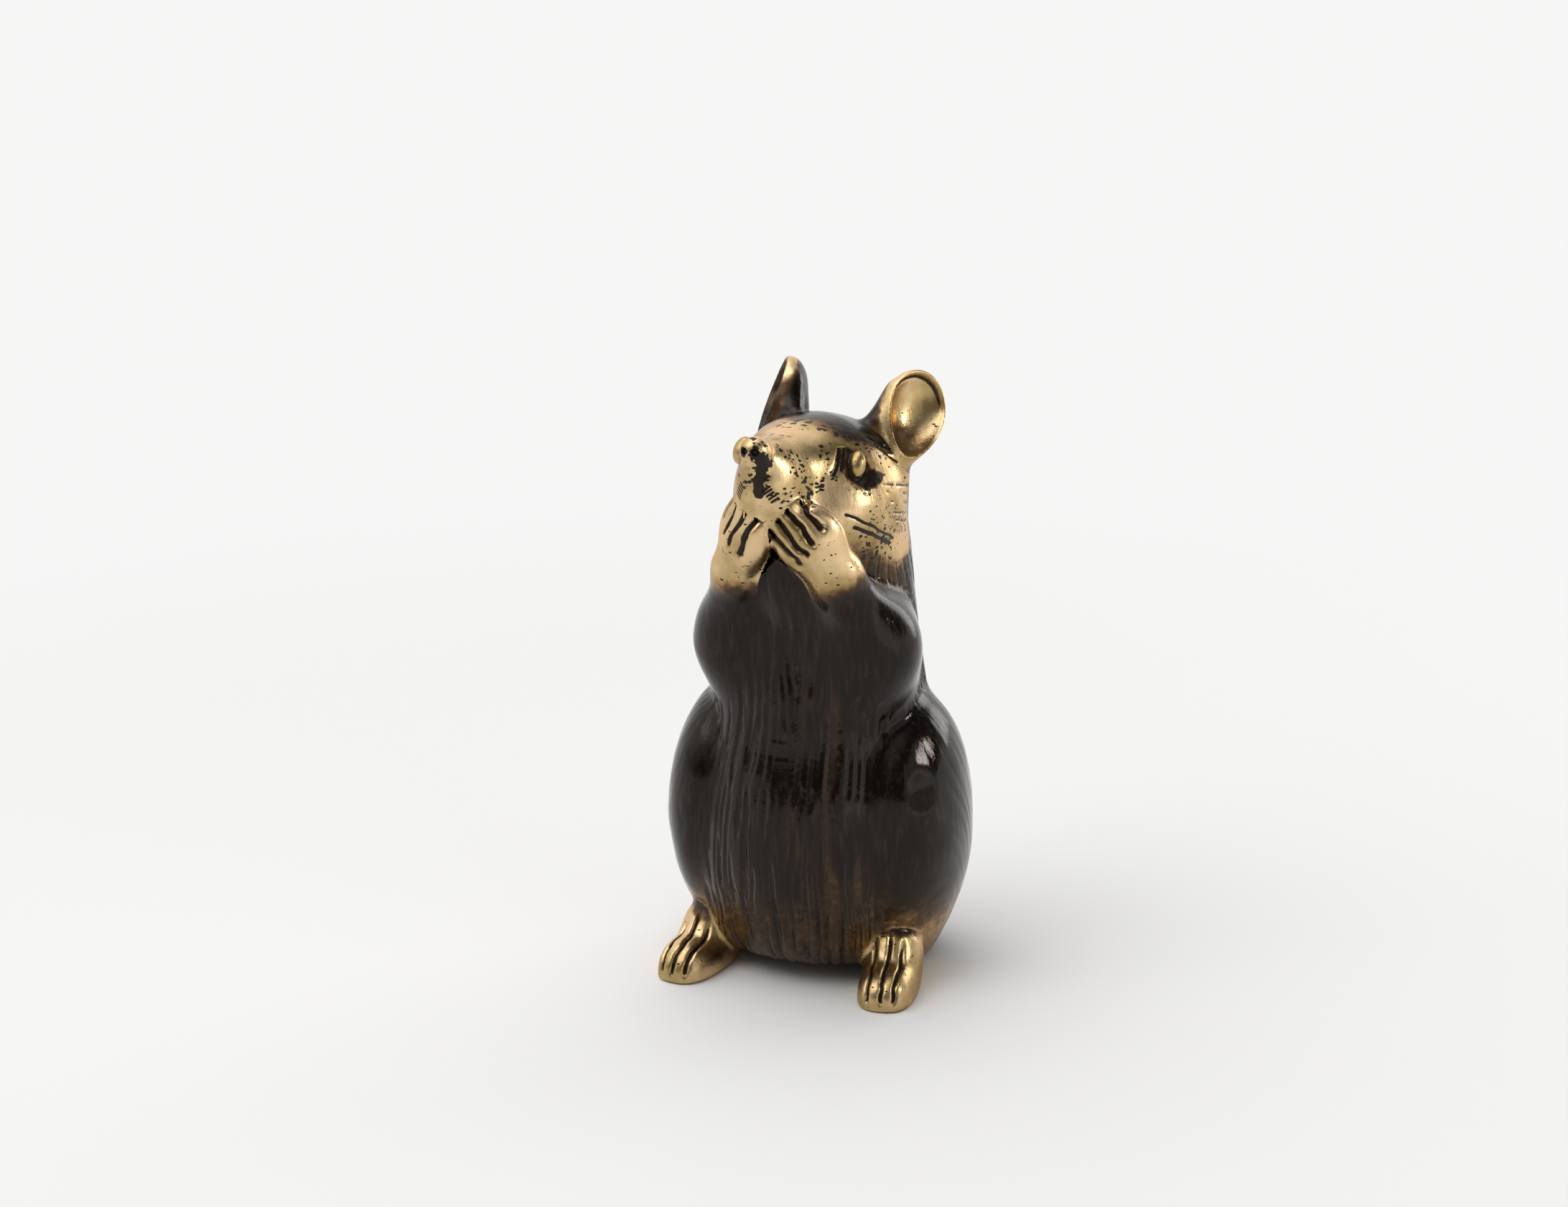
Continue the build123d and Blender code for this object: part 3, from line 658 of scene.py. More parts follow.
def bare_face(q, ragged=0.0):
    """1 on the face, which was rubbed bright, and 0 on the neck and the back of the head."""
    along = q[:, 1] + 8.0
    jaw = np.maximum(-6.6 - 0.10 * np.maximum(along, 0.0) + 0.40 * np.minimum(along, 0.0), -9.0)
    fade = 2.5 + 4.5 * ramp(np.abs(q[:, 0]), 4.0, 8.0)
    return ramp((q[:, 2] - jaw + 0.9 * ragged) / fade, -1.0, 0.35) * (1 - 0.9 * ramp(q[:, 1] + ragged, 3.0, 9.5))


PLUG_LINE_WIDTH = 0.13
PLUG_LINE_DEPTH = 0.10


def plug_outline(p):
    """The joint round the square core plugs in belly and back."""
    middle, half = (plug_low + plug_high) / 2, (plug_high - plug_low) / 2
    square = np.maximum(np.abs(p[:, 0] - middle[0]) - half[0], np.abs(p[:, 2] - middle[2]) - half[2])
    return groove(square, PLUG_LINE_WIDTH)


# %% Engrave the fingers and toes
FINGER_GROOVES = {1: (-2.9, -1.15, 0.75, 2.75), -1: (-2.7, -0.9, 0.9, 2.7)}
FINGER_STARTS = (-2.2, -1.6, -0.9, -0.3)
FINGER_GROOVE_DEPTH = 0.62
TOE_GROOVES = (-1.85, 0.0, 1.85)
TOE_GROOVE_DEPTH = 0.5
GROOVE_WIDTH = 0.30
TOE_GROOVE_WIDTH = 0.19


def groove(distance, width):
    """A rounded cut that is 1 in its middle."""
    return np.exp(-0.5 * (distance / width) ** 2)


def finger_cuts(p, side):
    h = hand_frame(p, side)
    cut = np.zeros(len(p))
    for number, place in enumerate(FINGER_GROOVES[side]):
        sway = 0.16 * np.sin(h[:, 2] * 1.1 + 2.1 * number + side) + 0.3 * (grain(p, 0.9, 8) - 0.5)
        fan = place * (1.0 + 0.02 * (h[:, 2] - 1.0))
        start = FINGER_STARTS[number]
        length = ramp(h[:, 2], start, start + 1.2) * ramp(h[:, 1], -1.6, -0.4)
        cut = np.maximum(cut, groove(h[:, 0] - fan - sway, GROOVE_WIDTH) * length)
    return cut


def toe_cuts(p, side):
    q = foot_frame(p, side)
    cut = np.zeros(len(p))
    for number, place in enumerate(TOE_GROOVES):
        sway = 0.08 * np.sin(q[:, 1] * 0.9 + 1.7 * number) + 0.25 * (grain(p, 1.1, 7) - 0.5)
        reach = 0.6 - 0.5 * abs(number - 1) + 0.3 * side
        length = ramp(-q[:, 1], -reach - 1.2, -reach + 0.8) * ramp(q[:, 2], 0.8, 1.8)
        cut = np.maximum(cut, groove(q[:, 0] - place * 1.03 - sway, TOE_GROOVE_WIDTH) * length)
    return cut


# %% Engrave the face
FACE_STROKES = (
    ((-9.8, 2.6), (-11.1, -0.8), 0.22),
    ((-9.2, 2.8), (-10.2, -0.1), 0.20),
    ((-4.4, 5.3), (-1.6, 4.6), 0.16),
    ((-1.6, 4.6), (0.7, 3.3), 0.16),
    ((-4.0, 4.5), (-0.4, 2.9), 0.13),
    ((-9.9, -5.8), (-6.3, -6.3), 0.17),
    ((-6.3, -6.3), (0.0, -7.0), 0.17),
    ((-8.3, -7.1), (-0.5, -7.7), 0.22),
)
CHEEK_TICK_ROWS = (-0.6, -1.6, -2.8, -4.2, -5.2)
WHISKER_TICKS = 5
FACE_DEPTH = 0.16


def segment(a, b, start, end):
    """Distance in a plane from points (a, b) to a segment."""
    (sa, sb), (ea, eb) = start, end
    t = np.clip(((a - sa) * (ea - sa) + (b - sb) * (eb - sb)) / ((ea - sa) ** 2 + (eb - sb) ** 2), 0, 1)
    return np.hypot(a - sa - t * (ea - sa), b - sb - t * (eb - sb))


def face_cuts(p):
    """Strokes on the sides of the head, drawn in its side view, and ticks on the front of the snout."""
    q = head_frame(p)
    x, y, z = np.abs(q[:, 0]), q[:, 1], q[:, 2]
    wobble = 0.22 * (grain(p, 1.3, 11) - 0.5)
    on_side = ramp(x, 3.0, 4.5)
    cut = np.zeros(len(p))
    for start, end, width in FACE_STROKES:
        cut = np.maximum(cut, groove(segment(y + wobble, z + wobble, start, end), width) * on_side)
    broken = ramp(grain(np.stack([y / 1.3, z, x], -1), 1.0, 12), 0.42, 0.55)
    for row, height in enumerate(CHEEK_TICK_ROWS):
        line = groove(z + 0.5 * wobble - height - 0.13 * (y + 5.0), 0.13)
        cut = np.maximum(cut, line * broken * ramp(y, -5.0 + row, -4.0 + row) * ramp(-y, -6.0, -4.5) * on_side)
    for tick in range(WHISKER_TICKS):
        a, b = 1.85 + 0.22 * tick, -4.7 - 0.32 * tick
        mark = groove(segment(x, z, (a - 0.4, b - 0.4), (a + 0.35, b + 0.35)), 0.10)
        cut = np.maximum(cut, mark * ramp(-y, 16.5, 17.5))
    return cut


def ear_cuts(p, side):
    """A line engraved inside the cup, along its rim."""
    leaf = ear_frame(p, side)
    inside = groove(egg(leaf, EAR_SCOOP_SHIFT, EAR_SCOOP_RADII), 0.25)
    ring = np.hypot(leaf[:, 0] / EAR_SCOOP_RADII[0], leaf[:, 2] / EAR_SCOOP_RADII[2])
    return 0.8 * groove((ring - 0.86) * 5.0, 0.13) * inside * ramp(leaf[:, 2] - leaf[:, 0], -3.0, 1.0)


depth = 0.22 * (grain(points, 5.0, 14) - 0.2) * ramp(points[:, 2], 1.0, 4.0)
carved = np.zeros(len(points))
combed = np.zeros(len(points))
on_trunk = (owner == 0) | (owner == PIECES.index("core_plugs"))
skin = points[on_trunk]
thinner = 1 - (1 - NECK_FUR) * ramp(skin[:, 2], 50.0, 57.0)
combed[on_trunk] = fur_depth(skin) * thinner * ramp(skin[:, 2], 1.0, 3.0)
depth += combed
carved[on_trunk] = plug_outline(skin)
depth[on_trunk] += PLUG_LINE_DEPTH * carved[on_trunk]
on_head = owner == 1
skin = points[on_head]
carved[on_head] = face_cuts(skin)
neck = 1 - bare_face(head_frame(skin))
depth[on_head] += FACE_DEPTH * carved[on_head] + NECK_FUR * fur_depth(skin) * neck
for side, arm, foot, ear in ((1, "left_foreleg", "left_hind_foot", "left_ear"),
                             (-1, "right_foreleg", "right_hind_foot", "right_ear")):
    mine = owner == PIECES.index(arm)
    carved[mine] = finger_cuts(points[mine], side)
    depth[mine] += FINGER_GROOVE_DEPTH * carved[mine]
    mine = owner == PIECES.index(foot)
    carved[mine] = toe_cuts(points[mine], side)
    depth[mine] += TOE_GROOVE_DEPTH * carved[mine]
    mine = owner == PIECES.index(ear)
    carved[mine] = ear_cuts(points[mine], side)
    depth[mine] += FACE_DEPTH * carved[mine]
points = points - normal * depth[:, None]
points[:, 2] = np.maximum(points[:, 2], cad_low[2] / MM)
normal = normals_of(points, quads, triangles)
print("deepest cut", round(float(depth.max()), 3), "mm")

# %% [markdown]
# ## Where the metal is bare
# Two numbers per point steer the finish. The first is how far the dark patina was rubbed away: fully on the
# face, ears, hands and feet, fading at the wrists and ankles. It also carries painted light: low on the belly a
# warm band that is partly wear and partly a painted reflection, and a painted highlight in the fur grooves. The
# second is how hollow the point lies, because polishing never reaches the bottom of a groove.

# %% Rubbed and hollow masks
def blur(values, rounds):
    """Average a value with its neighbours' a few times."""
    a = np.concatenate([quads.ravel(), triangles.ravel()])
    b = np.concatenate([np.roll(quads, -1, 1).ravel(), np.roll(triangles, -1, 1).ravel()])
    number = np.bincount(a, minlength=len(values)) + np.bincount(b, minlength=len(values))
    for _ in range(rounds):
        total = np.bincount(a, values[b], len(values)) + np.bincount(b, values[a], len(values))
        values = 0.5 * values + 0.5 * total / np.maximum(number, 1)
    return values


def hollowness():
    """Positive where the skin is concave."""
    fine = blur((np.stack([blur(points[:, k], 4) for k in range(3)], -1) * normal).sum(1) - (points * normal).sum(1), 1)
    broad = (np.stack([blur(points[:, k], 30) for k in range(3)], -1) * normal).sum(1) - (points * normal).sum(1)
    return np.maximum(np.clip(fine / 0.05, 0, 1) * 0.7 + np.clip(broad / 0.3, 0, 1) * 0.38, carved)


EAR_ROOT_RUB = {1: 0.75, -1: 0.35}
EAR_CUP_RUB = {1: (0.45, 0.55), -1: (0.05, 0.25)}
NOSE_PATCH = ((1.2, -0.9), (1.3, -2.0), (1.0, -3.3), (0.6, -4.6), (0.8, -5.4))
EYE_WEDGE = ((-7.5, -0.9), (-2.6, 1.2))
NECK_SIDE_RUB = 0.34
FUR_PAINTED_HIGHLIGHT = 0.22


def stains(q):
    """Dark patches that the polisher left on the head: below the nose, and round and behind the eye."""
    x, y, z = np.abs(q[:, 0]), q[:, 1], q[:, 2]
    ragged = (grain(q, 0.8, 15) - 0.5) * 1.1 + (grain(q, 0.35, 16) - 0.5) * 0.7
    dark = np.zeros(len(q))
    nostril = np.hypot(x - 0.8, z + 0.7)
    dark = np.maximum(dark, ramp(0.62 + 0.3 * ragged - nostril, -0.1, 0.15) * ramp(-y, 21.6, 22.2))
    for start, end in zip(NOSE_PATCH, NOSE_PATCH[1:]):
        patch = ramp(0.75 + 0.85 * ragged - segment(q[:, 0], z, start, end), -0.08, 0.12)
        dark = np.maximum(dark, patch * ramp(-y, 17.5, 18.5))
    on_side = ramp(x, 4.5, 5.5)
    ring = np.hypot((y + 8.2) / 2.3, (z - 0.8) / 2.6)
    dark = np.maximum(dark, 0.64 * ramp(1.14 + 0.25 * ragged - ring, -0.1, 0.4) * on_side)
    thick = 1.5 * np.clip((-2.2 - y) / 4.0, 0.0, 1.0)
    wedge = ramp(thick + 0.4 * ragged - segment(y, z, *EYE_WEDGE), -0.4, 0.8)
    return np.maximum(dark, 0.74 * wedge * on_side * ramp(-y, 1.6, 2.8))


def rubbed_mask():
    q = head_frame(points)
    ragged = (grain(points, 2.2, 5) - 0.5) * 1.6 + (grain(points, 0.8, 6) - 0.5) * 0.8
    rub = np.zeros(len(points))
    crown = ramp(q[:, 2] + 0.5 * ragged, 2.5, 5.0) * ramp(q[:, 1] + 1.4 * ragged, -13.2, -6.0)
    face = bare_face(q, ragged) * (1 - 0.85 * crown)
    rub[owner == 1] = face[owner == 1]
    # Low on the torso the patina turns warm brown. By the feet this is wear; on the lower belly it is partly wear and
    # partly a painted warm reflection from below.
    low = ramp(26.0 - points[:, 2] + 1.8 * ragged, 0.0, 20.0)
    by_feet = ramp(np.abs(points[:, 0]), 7.0, 12.0) * ramp(-points[:, 1], -8.0, 2.0)
    by_feet *= ramp(13.0 - points[:, 2] + 1.8 * ragged, 0.0, 8.0)
    neck_side = ramp(np.abs(q[:, 0]), 4.0, 8.0) * ramp(points[:, 2], 46.0, 54.0) * ramp(-q[:, 1], -9.0, -3.0)
    beside_neck = np.maximum(face, NECK_SIDE_RUB) * neck_side
    rub[owner == 1] = np.maximum(rub, beside_neck * ramp(-q[:, 2], 2.0, 6.0))[owner == 1]
    rub[owner == 0] = np.maximum(low * (0.26 + 0.34 * by_feet), beside_neck)[owner == 0]
    # The fur grooves are painted lighter and warmer, a painted highlight for light catching on their edges.
    rub += np.maximum(FUR_PAINTED_HIGHLIGHT - 0.7 * rub, 0.0) * combed / FUR_DEPTH
    for side, ear, arm, foot, eye in ((1, "left_ear", "left_foreleg", "left_hind_foot", "left_eye"),
                                      (-1, "right_ear", "right_foreleg", "right_hind_foot", "right_eye")):
        mine = owner == PIECES.index(ear)
        leaf = ear_frame(points, side)
        cup = ramp(0.5 - np.abs(egg(leaf, EAR_SCOOP_SHIFT, EAR_SCOOP_RADII)), 0.0, 0.3)
        least, more = EAR_CUP_RUB[side]
        in_cup = least + more * ramp(leaf[:, 2] + 0.6 * ragged, -2.4, 2.0)
        outside = 1 - 0.8 * ramp(leaf[:, 1] + 0.3 * ragged, -0.4, 1.2)
        outside *= EAR_ROOT_RUB[side] + (1 - EAR_ROOT_RUB[side]) * ramp(leaf[:, 2] + 0.5 * ragged, 0.5, 4.0)
        rub[mine] = (cup * in_cup + (1 - cup) * outside)[mine]
        mine = owner == PIECES.index(arm)
        h = hand_frame(points, side)
        rub[mine] = ramp(h[:, 2] + 0.45 * h[:, 0] + 0.9 * ragged, -12.5, -2.0)[mine]
        mine = owner == PIECES.index(foot)
        local = foot_frame(points, side)
        rub[mine] = (1 - 0.8 * ramp(local[:, 2] + 0.8 * ragged, 5.8, 8.4))[mine]
        rub[owner == PIECES.index(eye)] = 0.95
    return rub


hollow = hollowness()
hollow[owner == 1] = np.maximum(hollow, stains(head_frame(points)))[owner == 1]
rubbed = rubbed_mask()
bare_share = float((rubbed > 0.5).mean())
print("bare share of the skin", round(bare_share, 3), "hollow share", round(float((hollow > 0.5).mean()), 3))

# %% [markdown]
# ## Closed pieces
# Each piece takes its faces and closes every open rim with a fan to the rim's middle, inside the metal where
# it never shows. The normals come from the whole skin, so light runs across the seams without a line.

# %% Build one mesh per piece
def rims(edges):
    """Chain directed edges into closed loops."""
    following = {}
    for a, b in edges:
        following.setdefault(a, []).append(b)
    loops = []
    while following:
        start = next(iter(following))
        loop = [start]
        here = start
        while True:
            onward = following[here].pop()
            if not following[here]:
                del following[here]
            if onward == start:
                break
            loop.append(onward)
            here = onward
        loops.append(loop)
    return loops


def open_edges(start, end, count):
    """Edges that faces pass along more often one way than the other, turned the other way."""
    keys = np.minimum(start, end).astype(np.int64) * count + np.maximum(start, end)
    unique, place = np.unique(keys, return_inverse=True)
    surplus = np.bincount(place, np.where(start < end, 1, -1)).astype(int)
    low, high = unique // count, unique % count
    pairs = []
    for one, two, extra in ((high, low, surplus), (low, high, -surplus)):
        times = np.maximum(extra, 0)
        pairs += np.stack([np.repeat(one, times), np.repeat(two, times)], -1).tolist()
    return pairs


def build_piece(index):
    """One closed mesh object in metres for the piece with this index."""
    mine_quads = quads[quad_owner == index]
    mine_triangles = triangles[triangle_owner == index]
    used, place = np.unique(np.concatenate([mine_quads.ravel(), mine_triangles.ravel()]), return_inverse=True)
    local_quads = place[:mine_quads.size].reshape(-1, 4)
    local_triangles = place[mine_quads.size:].reshape(-1, 3)
    start = np.concatenate([local_quads.ravel(), local_triangles.ravel()])
    end = np.concatenate([np.roll(local_quads, -1, 1).ravel(), np.roll(local_triangles, -1, 1).ravel()])
    loops = rims(open_edges(start, end, len(used)))
    corners = points[used]
    caps = []
    middles = []
    for loop in loops:
        centre = corners[loop].mean(0) - 0.6 * normal[used][loop].mean(0)
        middles.append(centre)
        hub = len(corners) + len(middles) - 1
        caps += [(a, b, hub) for a, b in zip(loop, loop[1:] + loop[:1])]
    if middles:
        corners = np.concatenate([corners, np.array(middles)])
        local_triangles = np.concatenate([local_triangles, np.array(caps)])
    loop_points = np.concatenate([local_quads.ravel(), local_triangles.ravel()]).astype(np.int32)
    totals = np.concatenate([np.full(len(local_quads), 4), np.full(len(local_triangles), 3)])
    mesh = bpy.data.meshes.new(PIECES[index] + "_skin")
    mesh.vertices.add(len(corners))
    mesh.vertices.foreach_set("co", (corners * MM).astype(np.float32).ravel())
    mesh.loops.add(len(loop_points))
    mesh.loops.foreach_set("vertex_index", loop_points)
    mesh.polygons.add(len(totals))
    mesh.polygons.foreach_set("loop_start", (np.cumsum(totals) - totals).astype(np.int32))
    mesh.polygons.foreach_set("loop_total", totals.astype(np.int32))
    mesh.polygons.foreach_set("use_smooth", np.ones(len(totals), bool))
    mesh.update()
    for name, values in (("rubbed", rubbed), ("hollow", hollow)):
        spread = np.zeros(len(corners), np.float32)
        spread[:len(used)] = values[used]
        mesh.attributes.new(name, "FLOAT", "POINT").data.foreach_set("value", spread)
    inward = np.zeros((len(corners), 3))
    inward[:len(used)] = normal[used]
    inward[len(used):] = (0, 0, 1)
    mesh.normals_split_custom_set_from_vertices(inward)
    piece = bpy.data.objects.new(PIECES[index] + "_cast", mesh)
    bpy.context.scene.collection.objects.link(piece)
    return piece


SLOTS = {entry["node"]: entry["material_slot"] for entry in frame["record"]["subparts"]}
cast = {}
for index, name in enumerate(PIECES):
    piece = build_piece(index)
    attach(piece, "root")
    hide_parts(name)
    cast[name] = piece
    print(name, len(piece.data.polygons), "faces")

# %% [markdown]
# ## Aged bronze
# One node group paints every piece. Where the rubbed mask is high the metal is bare and bright, elsewhere it
# is covered with dark, waxed patina, and hollows and pits stay dark. Colour, roughness, metalness and a
# fine height come out of the group, and each material keeps its own shader.

# %% The aged bronze group
def new_group(name, inputs, outputs):
    group = bpy.data.node_groups.new(name, "ShaderNodeTree")
    for label, kind, value in inputs:
        socket = group.interface.new_socket(name=label, in_out="INPUT", socket_type=kind)
        socket.default_value = value
    for label, kind in outputs:
        group.interface.new_socket(name=label, in_out="OUTPUT", socket_type=kind)
    return group, group.nodes.new("NodeGroupInput"), group.nodes.new("NodeGroupOutput")


def math_node(tree, operation, first, second=None, clamp=False):
    node = tree.nodes.new("ShaderNodeMath")
    node.operation = operation
    node.use_clamp = clamp
    for socket, value in zip(node.inputs, (first, second)):
        if value is None:
            continue
        if isinstance(value, (int, float)):
            socket.default_value = value
        else:
            tree.links.new(value, socket)
    return node.outputs[0]


def step_node(tree, value, low, high, to_low=0.0, to_high=1.0):
    node = tree.nodes.new("ShaderNodeMapRange")
    node.interpolation_type = "SMOOTHSTEP"
    tree.links.new(value, node.inputs["Value"])
    for label, number in (("From Min", low), ("From Max", high), ("To Min", to_low), ("To Max", to_high)):
        node.inputs[label].default_value = number
    return node.outputs["Result"]


def mix_node(tree, factor, first, second):
    node = tree.nodes.new("ShaderNodeMix")
    node.data_type = "RGBA"
    tree.links.new(factor, node.inputs["Factor"])
    for label, value in (("A", first), ("B", second)):
        socket = next(s for s in node.inputs if s.name == label and s.type == "RGBA")
        if isinstance(value, tuple):
            socket.default_value = (*value, 1.0)
        else:
            tree.links.new(value, socket)
    return next(s for s in node.outputs if s.type == "RGBA")


def noise_node(tree, vector, scale, detail=3.0, roughness=0.55):
    node = tree.nodes.new("ShaderNodeTexNoise")
    tree.links.new(vector, node.inputs["Vector"])
    node.inputs["Scale"].default_value = scale
    node.inputs["Detail"].default_value = detail
    node.inputs["Roughness"].default_value = roughness
    return node.outputs["Fac"]


PATINA_DEEP = (0.0030, 0.0021, 0.0018)
PATINA_WARM = (0.032, 0.019, 0.012)
AMBER = (0.23, 0.125, 0.045)
BRASS_PALE = (0.72, 0.52, 0.29)
BRASS_OLIVE = (0.42, 0.30, 0.13)
GROOVE_BLACK = (0.008, 0.0065, 0.006)
PATINA_SHEEN = 0.27
PATINA_GLOSS_TINT = (1.0, 0.86, 0.76)
PER_MM = 1.0 / MM


def aged_bronze():
    group, given, out = new_group(
        "aged bronze",
        [("Rubbed", "NodeSocketFloat", 0.0), ("Hollow", "NodeSocketFloat", 0.0), ("Flecks", "NodeSocketFloat", 1.0)],
        [("Color", "NodeSocketColor"), ("Roughness", "NodeSocketFloat"), ("Metallic", "NodeSocketFloat"),
         ("Height", "NodeSocketFloat")],
    )
    place = group.nodes.new("ShaderNodeTexCoord").outputs["Object"]
    stretch = group.nodes.new("ShaderNodeMapping")
    stretch.inputs["Scale"].default_value = (1.0, 1.0, 0.12)
    group.links.new(place, stretch.inputs["Vector"])
    cloudy = noise_node(group, place, 0.16 * PER_MM, 4.0)
    mottled = noise_node(group, place, 0.9 * PER_MM, 5.0, 0.6)
    fine = noise_node(group, place, 3.2 * PER_MM, 3.0)
    streaks = noise_node(group, stretch.outputs["Vector"], 1.5 * PER_MM, 4.0, 0.6)

    ragged = math_node(group, "ADD", given.outputs["Rubbed"], math_node(
        group, "MULTIPLY", math_node(group, "SUBTRACT", mottled, 0.5), 0.45))
    bare = step_node(group, ragged, 0.08, 0.90)

    slash = group.nodes.new("ShaderNodeMapping")
    slash.inputs["Rotation"].default_value = (0.5, 0.3, 0.4)
    slash.inputs["Scale"].default_value = (0.6, 1.0, 1.5)
    group.links.new(place, slash.inputs["Vector"])
    pits = group.nodes.new("ShaderNodeTexVoronoi")
    group.links.new(slash.outputs["Vector"], pits.inputs["Vector"])
    pits.inputs["Scale"].default_value = 1.2 * PER_MM
    crowd = step_node(group, noise_node(group, place, 0.25 * PER_MM, 3.0), 0.36, 0.60)
    uneven = math_node(group, "MULTIPLY", crowd, step_node(group, mottled, 0.38, 0.66, 0.25, 0.60))
    pit_size = math_node(group, "MULTIPLY", uneven, given.outputs["Flecks"])
    wavy = math_node(group, "ADD", pits.outputs["Distance"], math_node(
        group, "MULTIPLY", math_node(group, "SUBTRACT", fine, 0.5), 0.7))
    fleck = math_node(group, "LESS_THAN", wavy, pit_size)
    groove = step_node(group, math_node(group, "ADD", given.outputs["Hollow"], math_node(
        group, "MULTIPLY", math_node(group, "SUBTRACT", mottled, 0.5), 0.4)), 0.28, 0.75)
    dark = math_node(group, "MAXIMUM", groove, fleck)
    shine = math_node(group, "MULTIPLY", bare, math_node(group, "SUBTRACT", 1.0, dark))

    brass = mix_node(group, step_node(group, cloudy, 0.36, 0.64), BRASS_PALE, BRASS_OLIVE)
    warm = math_node(group, "MULTIPLY", step_node(group, streaks, 0.44, 0.70), step_node(group, cloudy, 0.25, 0.65))
    # A light rub turns the patina warm. This is wear, and on the lower belly and in the fur grooves it is also painted
    # light: a painted reflection and a painted highlight.
    wear_and_painted_light = step_node(group, given.outputs["Rubbed"], 0.02, 0.32, 0.0, 0.8)
    patina = mix_node(group, math_node(group, "MAXIMUM", warm, wear_and_painted_light), PATINA_DEEP, PATINA_WARM)
    patina = mix_node(group, math_node(group, "MULTIPLY", dark, 0.7), patina, GROOVE_BLACK)
    thin = mix_node(group, step_node(group, shine, 0.0, 0.65), patina, AMBER)
    group.links.new(mix_node(group, step_node(group, shine, 0.30, 0.95), thin, brass), out.inputs["Color"])

    dull = step_node(group, mottled, 0.3, 0.7, 0.05, 0.14)
    polish = step_node(group, fine, 0.3, 0.7, 0.27, 0.36)
    rough = group.nodes.new("ShaderNodeMix")
    group.links.new(shine, rough.inputs["Factor"])
    group.links.new(dull, rough.inputs["A"])
    group.links.new(polish, rough.inputs["B"])
    group.links.new(rough.outputs["Result"], out.inputs["Roughness"])
    group.links.new(step_node(group, shine, 0.0, 0.8), out.inputs["Metallic"])
    relief = math_node(group, "ADD", math_node(group, "MULTIPLY", streaks, 0.9), math_node(group, "MULTIPLY", fine, 0.3))
    height = math_node(group, "SUBTRACT", relief, math_node(group, "MULTIPLY", fleck, 0.8))
    group.links.new(height, out.inputs["Height"])
    return group


AGED_BRONZE = aged_bronze()
print("aged bronze group:", len(AGED_BRONZE.nodes), "nodes")

# %% The finishes
def bronze_finish(name, flecks, relief):
    """A material that wears the aged bronze group."""
    material = bpy.data.materials.new(name)
    material.use_nodes = True
    tree = material.node_tree
    shader = tree.nodes["Principled BSDF"]
    paint = tree.nodes.new("ShaderNodeGroup")
    paint.node_tree = AGED_BRONZE
    paint.inputs["Flecks"].default_value = flecks
    for label, attribute in (("Rubbed", "rubbed"), ("Hollow", "hollow")):
        source = tree.nodes.new("ShaderNodeAttribute")
        source.attribute_name = attribute
        tree.links.new(source.outputs["Fac"], paint.inputs[label])
    shader.inputs["Specular IOR Level"].default_value = PATINA_SHEEN
    shader.inputs["Specular Tint"].default_value = (*PATINA_GLOSS_TINT, 1.0)
    bump = tree.nodes.new("ShaderNodeBump")
    bump.inputs["Strength"].default_value = relief
    bump.inputs["Distance"].default_value = 0.12 * MM
    tree.links.new(paint.outputs["Height"], bump.inputs["Height"])
    tree.links.new(bump.outputs["Normal"], shader.inputs["Normal"])
    tree.links.new(paint.outputs["Color"], shader.inputs["Base Color"])
    tree.links.new(paint.outputs["Roughness"], shader.inputs["Roughness"])
    tree.links.new(paint.outputs["Metallic"], shader.inputs["Metallic"])
    return material


FINISHES = {
    "dark_bronze": bronze_finish("dark bronze", 0.5, 0.32),
    "bare_bronze": bronze_finish("rubbed bronze", 1.0, 0.45),
}
POLISHED = bronze_finish("polished bronze", 0.35, 0.45)
for name, piece in cast.items():
    piece.data.materials.append(POLISHED if "foot" in name or "ear" in name else FINISHES[SLOTS[name]])


def drawn_brass():
    """The pins: plain drawn rod, mottled in tone and roughness."""
    material = bpy.data.materials.new("drawn brass")
    material.use_nodes = True
    tree = material.node_tree
    shader = tree.nodes["Principled BSDF"]
    place = tree.nodes.new("ShaderNodeTexCoord").outputs["Object"]
    tone = noise_node(tree, place, 1.5 * PER_MM, 3.0)
    tree.links.new(mix_node(tree, tone, BRASS_PALE, BRASS_OLIVE), shader.inputs["Base Color"])
    tree.links.new(step_node(tree, tone, 0.3, 0.7, 0.25, 0.4), shader.inputs["Roughness"])
    shader.inputs["Metallic"].default_value = 1.0
    return material


FINISHES["brass_pins"] = drawn_brass()
for node in ("base_plate", "ear_pins", "foreleg_pins", "foot_pins", "tail_pin"):
    solid = frame["nodes"][node]
    finish = FINISHES[SLOTS[node]]
    if not solid.data.materials:
        solid.data.materials.append(finish)
    for slot in solid.material_slots:
        slot.material = finish
print("finishes:", sorted(FINISHES))

# %% [markdown]
# ## Floor, light and camera
# A pale floor runs far back, so that it fills the picture as a studio sweep does. The world is a soft tent of
# light, dimmer on the side that faces the mouse, which keeps its front dark and its edges bright. The camera
# stands where the photographer stood: a little to the mouse's left and above it, with a long lens.

